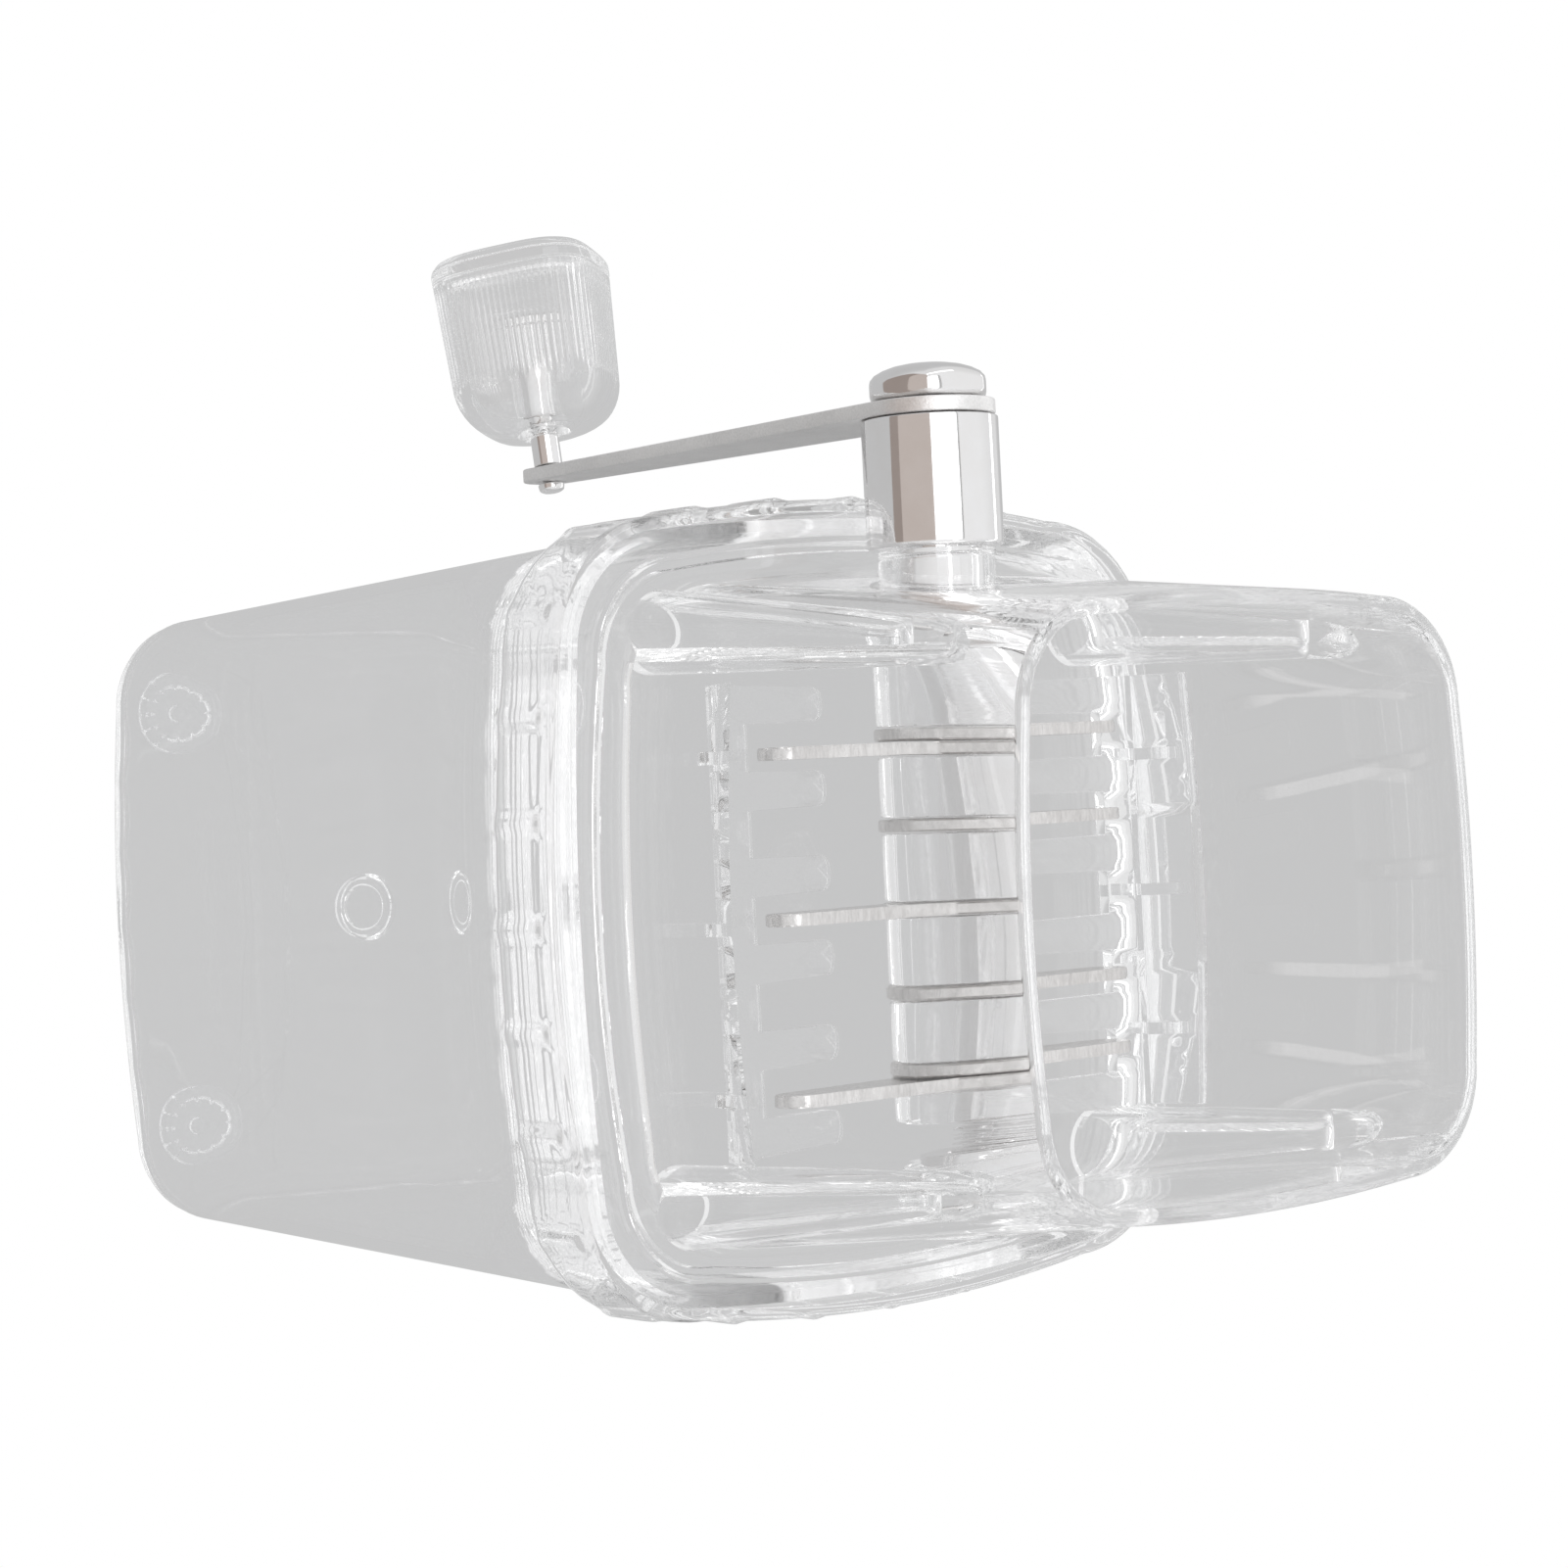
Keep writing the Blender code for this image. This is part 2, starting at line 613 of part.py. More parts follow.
def knob(pin_axis, spin_axis):
    """Both axes carry local +X pointing out along the pin."""
    t = (ARM_X1 - ARM_X0) / 2
    h = -t - 0.47                  # rivet head, clear of the arm as it sags
    prof = [(h - 1.5, 0.0), (h - 1.5, 1.7), (h - 1.0, 2.45), (h, 2.45),
            (h, STUD_R), (t + 0.5, STUD_R), (t + 0.5, PIN_R), (28.3, PIN_R),
            (28.3, 4.2), (29.6, 4.2), (30.4, 3.2), (30.4, 0.0)]
    finish("knob_pin", turned(prof, 20), CHROME, (0, 0, 0), pin_axis)

    b = PIN_R + GAP
    s0, s1, r0, r1 = KNOB_S0, KNOB_S1, KNOB_R0, KNOB_R1
    w = 2.2
    prof = [(s0, b), (s0, 5.2), (s0 + 0.8, 8.0), (s0 + 2.8, 11.0), (s0 + 6.0, 13.3),
            (s0 + 10.5, r0), (s1, r1), (s1, r1 - w), (s0 + 12.5, r0 - w),
            (s0 + 8.6, 11.2), (s0 + 5.8, 9.0), (s0 + 3.6, 6.4), (s0 + 3.0, 4.6),
            (28.0, 4.3), (28.0, b)]
    sec = squarish(3.4)
    finish("knob", turned(prof, 32, closed=True, section=sec), CLEAR, (0, 0, 0), spin_axis)
    c0 = s1 + GAP
    prof = [(CAP_END, 0.0), (CAP_END, 12.6), (CAP_END - 0.7, 14.4), (CAP_END - 2.2, r1 + 0.1),
            (c0, r1 + 0.1), (c0, r1 - w - GAP), (c0 - 1.8, r1 - w - GAP), (c0 - 1.8, 0.0)]
    finish("knob_cap", turned(prof, 32, section=sec), CLEAR, (0, 0, 0), spin_axis)


tub()
feet()
head()
comb("comb_rear", 1, REAR_RIBS)
comb("comb_front", -1, FRONT_RIBS)
bushes()
crank_axis = guide("crank_axis", (0, 0, SHAFT_Z))
rotor(crank_axis)
crank(crank_axis)
# local +X of this empty runs out along the sagging pin
pin_axis = guide("pin_axis", ((ARM_X0 + ARM_X1) / 2, 0, -ARM_LEN),
                 (0, KNOB_DROOP, math.pi), crank_axis)
spin_axis = guide("knob_axis", (0, 0, 0), None, pin_axis)
knob(pin_axis, spin_axis)
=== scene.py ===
"""Looks for the hand-crank crusher: fine clear mouldings, chrome rotor and
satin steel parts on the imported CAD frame, shot from above with a rolled camera."""
import math

import bmesh
import bpy
from mathutils import Matrix, Vector


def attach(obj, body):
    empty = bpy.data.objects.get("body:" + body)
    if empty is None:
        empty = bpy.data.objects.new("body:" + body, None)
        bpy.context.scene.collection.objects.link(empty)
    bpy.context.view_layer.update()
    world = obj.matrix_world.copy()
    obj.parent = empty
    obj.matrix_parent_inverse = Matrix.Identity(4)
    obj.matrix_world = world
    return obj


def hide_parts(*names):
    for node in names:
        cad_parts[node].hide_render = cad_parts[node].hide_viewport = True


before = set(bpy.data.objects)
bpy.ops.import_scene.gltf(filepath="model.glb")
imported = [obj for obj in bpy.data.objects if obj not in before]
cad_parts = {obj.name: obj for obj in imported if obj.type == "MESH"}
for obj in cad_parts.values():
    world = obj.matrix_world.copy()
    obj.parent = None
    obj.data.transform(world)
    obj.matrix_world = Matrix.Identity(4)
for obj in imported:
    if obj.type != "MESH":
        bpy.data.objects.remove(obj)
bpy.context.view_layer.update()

MM = 0.001
FINE = 2

# ---------------------------------------------------------------- dimensions
TUB_WALL, TUB_BOTTOM_Z, TUB_FLOOR, TUB_RIM_Z = 2.3, 3.3, 2.4, 159.0
TUB_BOTTOM_HALF, TUB_RIM_HALF = 60.0, 64.6
TUB_BOTTOM_R, TUB_RIM_R, TUB_BOW = 17.0, 21.0, 2.0
GATE_R = 6.2
FOOT_X, FOOT_Y, FOOT_R, FOOT_H = 40.0, 38.5, 7.8, 3.0
HEAD_X, HEAD_Y, HEAD_R, HEAD_BOW = 67.8, 69.3, 24.0, 3.2
SKIRT_Z, SKIRT_WALL, RIB_PROUD = 146.2, 2.0, 0.6
RIB_SPAN, RIB_HALF, RIB_CORNER, RIB_CORNER_HALF = 0.405, 0.075, math.radians(21.8), math.radians(7.2)
FLANGE_Z, FLANGE_T, STEP_IN, STEP_H = 161.7, 2.3, 7.0, 1.9
HOP_X, HOP_Y, HOP_R, HOP_BOW = 56.3, 57.4, 19.0, 2.0
MOUTH_X, MOUTH_Y, MOUTH_R, MOUTH_BOW, MOUTH_Z = 46.2, 49.2, 16.5, 1.4, 245.5
HOP_WALL = 2.5
POST_R0, POST_R1 = 7.0, 3.3
POST_BASE, POST_TIP, POST_TOP_Z = (45.6, 46.4), (39.4, 42.6), 229.0
BUSH_HOLE_R = 9.9
SHAFT_Z, ROTOR_X, PITCH = 177.5, 0.7, 13.55
BLADE_T, BLADE_HUB_R, BLADE_TIP_R = 2.0, 10.9, 37.5
BLADE_ROOT_HALF, BLADE_TIP_HALF = 5.4, 3.6
SPACER_R, ROD_R, BORE_R, JOURNAL_R, BUSH_R = 10.45, 4.0, 4.3, 6.0, 9.6
BUSH_IN, BUSH_OUT = -49.8, -57.5
COLLAR_R, COLLAR_L = 11.0, 2.6
ENDNUT_R, ENDNUT_X0, ENDNUT_X1 = 6.8, 41.6, 49.5
SLEEVE_R, SLEEVE_X0, SLEEVE_X1 = 11.25, -78.9, -57.8
ARM_X0, ARM_X1, ARM_HUB_R, ARM_END_R, ARM_LEN = -81.7, -79.2, 10.9, 5.0, 105.6
NUT_R, NUT_TURN, PIN_R, STUD_R, STUD_HOLE_R = 9.7, math.radians(42.5), 2.65, 1.7, 2.15
DROOP, KNOB_TURN, KNOB_POWER = math.radians(9.0), math.radians(37.0), 3.4
KNOB_S0, KNOB_S1, KNOB_R0, KNOB_R1, CAP_END = 7.3, 36.8, 14.5, 15.4, 41.8
COMB_HALF, COMB_T = 36.6, 2.2
COMB_ROOT_Y, COMB_ROOT_Z, COMB_TIP_Y, COMB_TIP_Z, COMB_WALL_Z = 45.4, 175.8, 20.6, 172.4, 185.0
COMB_SLOT_Y = 38.4
TOOTH_W = 6.2
REAR_RIBS, FRONT_RIBS = (-22.7, 0.7, 24.7), (-25.0, 1.3, 27.6)
GAP = 0.3
FLUTES = 88


def lerp(a, b, t):
    return a + (b - a) * t


# ----------------------------------------------------------------- materials
def nodes_of(name):
    m = bpy.data.materials.new(name)
    m.use_nodes = True
    nt = m.node_tree
    b = nt.nodes["Principled BSDF"]
    return m, nt, b


def noise(nt, scale, detail=2.0, rough=0.5, stretch=(1, 1, 1), kind="ShaderNodeTexNoise"):
    co = nt.nodes.new("ShaderNodeTexCoord")
    mp = nt.nodes.new("ShaderNodeMapping")
    mp.inputs["Scale"].default_value = stretch
    tex = nt.nodes.new(kind)
    tex.inputs["Scale"].default_value = scale
    if "Detail" in tex.inputs:
        tex.inputs["Detail"].default_value = detail
        tex.inputs["Roughness"].default_value = rough
    nt.links.new(co.outputs["Object"], mp.inputs["Vector"])
    nt.links.new(mp.outputs["Vector"], tex.inputs["Vector"])
    return tex


def remap(nt, value, lo, hi):
    mr = nt.nodes.new("ShaderNodeMapRange")
    mr.inputs["From Min"].default_value = 0.25
    mr.inputs["From Max"].default_value = 0.75
    mr.inputs["To Min"].default_value = lo
    mr.inputs["To Max"].default_value = hi
    nt.links.new(value, mr.inputs["Value"])
    return mr.outputs["Result"]


def ramp(nt, value, stops):
    cr = nt.nodes.new("ShaderNodeValToRGB")
    el = cr.color_ramp.elements
    while len(el) < len(stops):
        el.new(0.5)
    for e, (p, c) in zip(el, stops):
        e.position = p
        e.color = (*c, 1.0)
    nt.links.new(value, cr.inputs["Fac"])
    return cr.outputs["Color"]


def bump(nt, height, strength, distance):
    bp = nt.nodes.new("ShaderNodeBump")
    bp.inputs["Strength"].default_value = strength
    bp.inputs["Distance"].default_value = distance
    nt.links.new(height, bp.inputs["Height"])
    return bp.outputs["Normal"]


def clear_material(name, wave=0.10, tint=(0.998, 0.999, 1.0), rough=0.0):
    """Clear moulded plastic: flow ripples a few centimetres long, finer haze."""
    m, nt, b = nodes_of(name)
    b.inputs["Transmission Weight"].default_value = 1.0
    b.inputs["IOR"].default_value = 1.49
    fine = noise(nt, 900.0, 2.0)
    flow = noise(nt, 38.0, 1.5, 0.4, (1.0, 1.0, 0.45))
    lo = tuple(c * 0.996 for c in tint)
    nt.links.new(ramp(nt, fine.outputs["Fac"], [(0.35, lo), (0.65, tint)]), b.inputs["Base Color"])
    nt.links.new(remap(nt, fine.outputs["Fac"], rough, rough + 0.02), b.inputs["Roughness"])
    nt.links.new(bump(nt, flow.outputs["Fac"], wave, 0.0009), b.inputs["Normal"])
    return m


def chrome_material(name, base=0.90, r0=0.03, r1=0.09):
    m, nt, b = nodes_of(name)
    b.inputs["Metallic"].default_value = 1.0
    smear = noise(nt, 160.0, 3.0, 0.6)
    turn = noise(nt, 1400.0, 1.0, 0.5, (1.0, 0.04, 0.04))
    nt.links.new(ramp(nt, smear.outputs["Fac"], [(0.3, (base * 0.965, base * 0.955, base * 0.95)),
                                                (0.7, (base, base, base * 1.005))]), b.inputs["Base Color"])
    nt.links.new(remap(nt, smear.outputs["Fac"], r0, r1), b.inputs["Roughness"])
    nt.links.new(bump(nt, turn.outputs["Fac"], 0.06, 0.0001), b.inputs["Normal"])
    return m


def steel_material(name, dark, light, r0, r1, grain=(1, 1, 1), gscale=1500.0, strength=0.25):
    m, nt, b = nodes_of(name)
    b.inputs["Metallic"].default_value = 1.0
    g = noise(nt, gscale, 3.0, 0.65, grain)
    cloud = noise(nt, 90.0, 3.0, 0.55)
    mix = nt.nodes.new("ShaderNodeMath")
    mix.operation = "MULTIPLY_ADD"
    mix.inputs[1].default_value = 0.6
    nt.links.new(g.outputs["Fac"], mix.inputs[0])
    half = nt.nodes.new("ShaderNodeMath")
    half.operation = "MULTIPLY"
    half.inputs[1].default_value = 0.4
    nt.links.new(cloud.outputs["Fac"], half.inputs[0])
    nt.links.new(half.outputs[0], mix.inputs[2])
    nt.links.new(ramp(nt, mix.outputs[0], [(0.35, dark), (0.65, light)]), b.inputs["Base Color"])
    nt.links.new(remap(nt, mix.outputs[0], r0, r1), b.inputs["Roughness"])
    nt.links.new(bump(nt, g.outputs["Fac"], strength, 0.0002), b.inputs["Normal"])
    return m


CLEAR = clear_material("clear_moulded")
CLEAR_THICK = clear_material("clear_knob", wave=0.05)
CLEAR_FOOT = clear_material("clear_foot", wave=0.16, tint=(0.99, 0.992, 0.995), rough=0.03)
CHROME = chrome_material("chrome_plate")
BLADE = steel_material("stamped_steel", (0.66, 0.645, 0.635), (0.90, 0.885, 0.875), 0.16, 0.30,
                       (0.25, 1.0, 1.0), 1300.0, 0.22)
ARM = steel_material("satin_arm", (0.74, 0.735, 0.73), (0.90, 0.895, 0.89), 0.38, 0.52,
                     (1, 1, 1), 2600.0, 0.35)


# ------------------------------------------------------------- mesh builders
def piece(name, bm, mat, body, nodes=(), matrix=None, angle=32.0):
    bmesh.ops.recalc_face_normals(bm, faces=bm.faces)
    bmesh.ops.scale(bm, vec=(MM, MM, MM), verts=bm.verts)
    me = bpy.data.meshes.new(name)
    bm.to_mesh(me)
    bm.free()
    ob = bpy.data.objects.new(name, me)
    bpy.context.scene.collection.objects.link(ob)
    me.shade_smooth()
    me.set_sharp_from_angle(angle=math.radians(angle))
    if matrix is not None:
        me.transform(matrix)
    if mat is not None:
        me.materials.append(mat)
    if body is not None:
        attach(ob, body)
    if nodes:
        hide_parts(*nodes)
    return ob


def swell(u):
    """0 at -1 and 1, 1 in the middle, smooth."""
    return math.cos(math.pi * u / 2) ** 2


def rib_stations():
    """Ring points along a side and round a corner, with the height of the rib there."""
    m = 4 * FINE
    side, k0 = [], -1.0
    for k in range(-2, 3):
        c = k * RIB_SPAN
        side += [(lerp(k0, c - RIB_HALF, i / 5), 0.0) for i in range(5)]
        side += [(c + RIB_HALF * i / m, swell(i / m)) for i in range(-m, m)]
        k0 = c + RIB_HALF
    side += [(lerp(k0, 1.0, i / 5), 0.0) for i in range(5)]
    q, h, r0, corner = RIB_CORNER, RIB_CORNER_HALF, 0.0, []
    for c in (q, math.pi / 2 - q):
        corner += [(lerp(r0, c - h, i / 4), 0.0) for i in range(4)]
        corner += [(c + h * i / m, swell(i / m)) for i in range(-m, m)]
        r0 = c + h
    corner += [(lerp(r0, math.pi / 2, i / 4), 0.0) for i in range(4)]
    return side, corner


def rounded(hx, hy, r, bow, z, nc=8, ns=24, ripple=0.0, ripples=0, stations=None, proud=0.0):
    nc, ns = nc * FINE, ns * FINE
    pts = []
    ax, ay = hx - bow - r, hy - bow - r
    if stations:
        side, corner = stations
    else:
        side = [(-1.0 + 2.0 * i / ns, 0.0) for i in range(ns)]
        corner = [(math.pi / 2 * i / nc, 0.0) for i in range(nc)]
    for k in range(4):
        c, s = ((1, 0), (0, 1), (-1, 0), (0, -1))[k]
        along = ay if k % 2 == 0 else ax
        out = hx if k % 2 == 0 else hy
        for t, w in side:
            d = out - bow * t * t + proud * w
            if ripples:             # arcs bulging inward that meet in points
                fade = min(1.0, (1 - abs(t)) * 8)
                d -= ripple * abs(math.sin(math.pi * ripples * (t + 1) / 2)) * fade
            a = along * t
            pts.append((c * d - s * a, s * d + c * a, z))
        cx, cy = (ax, ay) if k % 2 == 0 else (ay, ax)
        for th, w in corner:
            rr = r + proud * w
            u, v = cx + rr * math.cos(th), cy + rr * math.sin(th)
            pts.append((c * u - s * v, s * u + c * v, z))
    return pts


def circle_like(ring, r, z):
    return [(r * math.cos(math.atan2(y, x)), r * math.sin(math.atan2(y, x)), z) for x, y, _ in ring]


def loft(rings, closed_profile=False, start=None, end=None):
    """start/end: centre points that close the ends with a fan."""
    bm = bmesh.new()
    loops = [[bm.verts.new(p) for p in ring] for ring in rings]
    n = len(loops[0])
    pairs = list(zip(loops, loops[1:]))
    if closed_profile:
        pairs.append((loops[-1], loops[0]))
    for a, b in pairs:
        for i in range(n):
            j = (i + 1) % n
            bm.faces.new((a[i], a[j], b[j], b[i]))
    for centre, loop in ((start, loops[0]), (end, loops[-1])):
        if centre is not None:
            c = bm.verts.new(centre)
            for i in range(n):
                bm.faces.new((c, loop[i], loop[(i + 1) % n]))
    return bm


def turned(profile, seg, axis="X", closed=False, section=None):
    bm = bmesh.new()

    def place(a, r, th):
        if section is not None:
            r = section(a, r, th)
        u, v = r * math.cos(th), r * math.sin(th)
        return (a, u, v) if axis == "X" else (u, v, a)

    rows = []
    for a, r in profile:
        if r <= 1e-9:
            rows.append([bm.verts.new(place(a, 0.0, 0.0) if section is None else
                                      ((a, 0, 0) if axis == "X" else (0, 0, a)))])
        else:
            rows.append([bm.verts.new(place(a, r, 2 * math.pi * i / seg)) for i in range(seg)])
    pairs = list(zip(rows, rows[1:]))
    if closed:
        pairs.append((rows[-1], rows[0]))
    for p, q in pairs:
        for i in range(seg):
            j = (i + 1) % seg
            if len(p) == 1 and len(q) == 1:
                continue
            if len(p) == 1:
                bm.faces.new((p[0], q[i], q[j]))
            elif len(q) == 1:
                bm.faces.new((p[i], p[j], q[0]))
            else:
                bm.faces.new((p[i], p[j], q[j], q[i]))
    return bm


def soften(profile, radius, steps=3, closed=True, keep=()):
    """Rounds the corners of an (along, radius) profile."""
    out = []
    n = len(profile)
    for i, p in enumerate(profile):
        if (not closed and i in (0, n - 1)) or i in keep:
            out.append(p)
            continue
        a, c = Vector(profile[i - 1]), Vector(profile[(i + 1) % n])
        b = Vector(p)
        u, v = a - b, c - b
        d = min(radius, u.length * 0.45, v.length * 0.45)
        if d < 1e-4 or u.normalized().dot(v.normalized()) < -0.995:
            out.append(p)
            continue
        p0, p1 = b + u.normalized() * d, b + v.normalized() * d
        for k in range(steps + 1):
            t = k / steps
            q = p0 * (1 - t) ** 2 + b * 2 * t * (1 - t) + p1 * t * t
            out.append((q.x, q.y))
    return out


def ring_profile(a0, a1, r_in, r_out):
    return [(a0, r_in), (a0, r_out), (a1, r_out), (a1, r_in)]


def tool(bm, location=(0, 0, 0)):
    bmesh.ops.recalc_face_normals(bm, faces=bm.faces)
    bmesh.ops.scale(bm, vec=(MM, MM, MM), verts=bm.verts)
    me = bpy.data.meshes.new("tool")
    bm.to_mesh(me)
    bm.free()
    ob = bpy.data.objects.new("tool", me)
    bpy.context.scene.collection.objects.link(ob)
    ob.location = Vector(location) * MM
    return ob


def apply_all(ob, tools, angle=32.0):
    """Runs the cuts and unions on ob's mesh and removes the tools."""
    for t, op in tools:
        mod = ob.modifiers.new(op, "BOOLEAN")
        mod.operation = op
        mod.solver = "EXACT"
        mod.object = t
    bpy.context.view_layer.update()
    dg = bpy.context.evaluated_depsgraph_get()
    me = bpy.data.meshes.new_from_object(ob.evaluated_get(dg))
    ob.modifiers.clear()
    old = ob.data
    ob.data = me
    me.name = old.name
    bpy.data.meshes.remove(old)
    for t, _ in tools:
        d = t.data
        bpy.data.objects.remove(t, do_unlink=True)
        bpy.data.meshes.remove(d)
    me.shade_smooth()
    me.set_sharp_from_angle(angle=math.radians(angle))
    return ob


def bevelled(ob, width, segments=2, angle=35.0):
    mod = ob.modifiers.new("bevel", "BEVEL")
    mod.width = width * MM
    mod.segments = segments
    mod.limit_method = "ANGLE"
    mod.angle_limit = math.radians(angle)
    mod.use_clamp_overlap = True
    return ob


SHAFT = Matrix.Translation(Vector((0, 0, SHAFT_Z)) * MM)


# ----------------------------------------------------------------------- tub
def tub():
    bz, fz, w = TUB_BOTTOM_Z, TUB_BOTTOM_Z + TUB_FLOOR, TUB_WALL
    H0, H1, r0, r1 = TUB_BOTTOM_HALF, TUB_RIM_HALF, TUB_BOTTOM_R, TUB_RIM_R
    flute = dict(ripple=1.3, ripples=6)

    def at(z):
        t = (z - 10.0) / (TUB_RIM_Z - 10.0)
        return lerp(H0, H1, t), lerp(r0, r1, t)

    def R(inset, z, dr=0.0, **k):
        h, r = at(z)
        return rounded(h - inset, h - inset, r - inset + dr, TUB_BOW, z, **k)

    base = rounded(H0 - 5.0, H0 - 5.0, r0 - 5.0, TUB_BOW, bz)
    rings = [circle_like(base, GATE_R - 1.9, 0.9), circle_like(base, GATE_R - 1.5, 0.15),
             circle_like(base, GATE_R - 0.6, 0.0), circle_like(base, GATE_R, 0.5),
             circle_like(base, GATE_R, bz - 0.5), circle_like(base, GATE_R + 0.5, bz)]
    # outer heel of the tub, a quarter round
    for k in range(7):
        a = math.pi / 2 * k / 6
        d = 5.0 * (1 - math.sin(a)) + 0.35
        z = bz + 5.0 * (1 - math.cos(a))
        rings.append(rounded(H0 - d, H0 - d, r0 - d, TUB_BOW, z))
    for z in (10.0, 45.0, 80.0, 118.0, TUB_RIM_Z - 0.9):
        rings.append(R(0.0, z))
    rings.append(R(0.25, TUB_RIM_Z - 0.25))
    rings.append(R(0.8, TUB_RIM_Z))
    rings.append(R(w - 0.8, TUB_RIM_Z))
    rings.append(R(w - 0.25, TUB_RIM_Z - 0.25))
    for z in (TUB_RIM_Z - 0.9, 118.0, 80.0, 45.0, 22.0, 14.0):
        rings.append(R(w, z))
    # inner heel: the scalloped line where wall meets floor
    for k in range(7):
        a = math.pi / 2 * k / 6
        d = w + 4.2 * (1 - math.cos(a))
        z = fz + 4.6 * (1 - math.sin(a))
        s = dict(flute)
        s["ripple"] = 1.3 * k / 6
        rings.append(rounded(H0 - d, H0 - d, r0 - d, TUB_BOW, z, **s))
    rings.append(rounded(H0 - 8.2, H0 - 8.2, r0 - 8.2, TUB_BOW, fz, ripple=0.9, ripples=6))
    bm = loft(rings, start=(0, 0, 1.1), end=(0, 0, fz))
    piece("tub_moulding", bm, CLEAR, "container", ["container"])


def feet():
    k = 0
    for sy in (-1, 1):
        for sx in (-1, 1):
            k += 1
            prof = soften([(FOOT_H, 0.0), (FOOT_H, FOOT_R - 0.6), (2.0, FOOT_R), (0.7, FOOT_R),
                           (0.0, FOOT_R - 0.7), (0.0, FOOT_R - 2.2),
                           (0.9, FOOT_R - 2.8), (0.9, 1.9), (0.35, 1.2), (0.35, 0.0)], 0.35, 3, False)

            def marks(a, r, th):
                # short moulded pips inside the rim
                if 4.4 < r < 6.0:
                    return r - 0.55 * max(0.0, math.cos(th * 12)) ** 6
                return r
            bm = turned(prof, 96 * FINE, "Z", section=marks)
            piece("foot_ring_%d" % k, bm, CLEAR_FOOT, "container", ["foot_pad_%d" % k],
                  Matrix.Translation(Vector((sx * FOOT_X, sy * FOOT_Y, 0)) * MM))


# ---------------------------------------------------------------------- head
def hopper_out(z):
    t = (z - (FLANGE_Z + STEP_H)) / (MOUTH_Z - (FLANGE_Z + STEP_H))
    return (lerp(HOP_X - 1.0, MOUTH_X, t), lerp(HOP_Y - 1.0, MOUTH_Y, t),
            lerp(HOP_R - 1.0, MOUTH_R, t), lerp(HOP_BOW, MOUTH_BOW, t))


def wall_in_y(x, z):
    hx, hy, r, b = hopper_out(z)
    ax, ri = hx - b - r, r - HOP_WALL
    if abs(x) <= ax:
        return hy - HOP_WALL - b * (x / ax) ** 2
    return hy - b - r + math.sqrt(ri * ri - (abs(x) - ax) ** 2)


def cone(sx, sy, z0, z1, r_of, steps, seg):
    bm = bmesh.new()
    rows = []
    for t, k in steps:
        z = lerp(z0, z1, t)
        u = (z - (FLANGE_Z + STEP_H - FLANGE_T)) / (POST_TOP_Z - (FLANGE_Z + STEP_H - FLANGE_T))
        cx, cy = sx * lerp(POST_BASE[0], POST_TIP[0], u), sy * lerp(POST_BASE[1], POST_TIP[1], u)
        rr = r_of(u) * k
        rows.append([bm.verts.new((cx + rr * math.cos(2 * math.pi * (i + .5) / seg),
                                   cy + rr * math.sin(2 * math.pi * (i + .5) / seg), z))
                     for i in range(seg)])
    for p, q in zip(rows, rows[1:]):
        for i in range(seg):
            j = (i + 1) % seg
            bm.faces.new((p[i], p[j], q[j], q[i]))
    bm.faces.new(rows[0])
    bm.faces.new(rows[-1])
    return bm


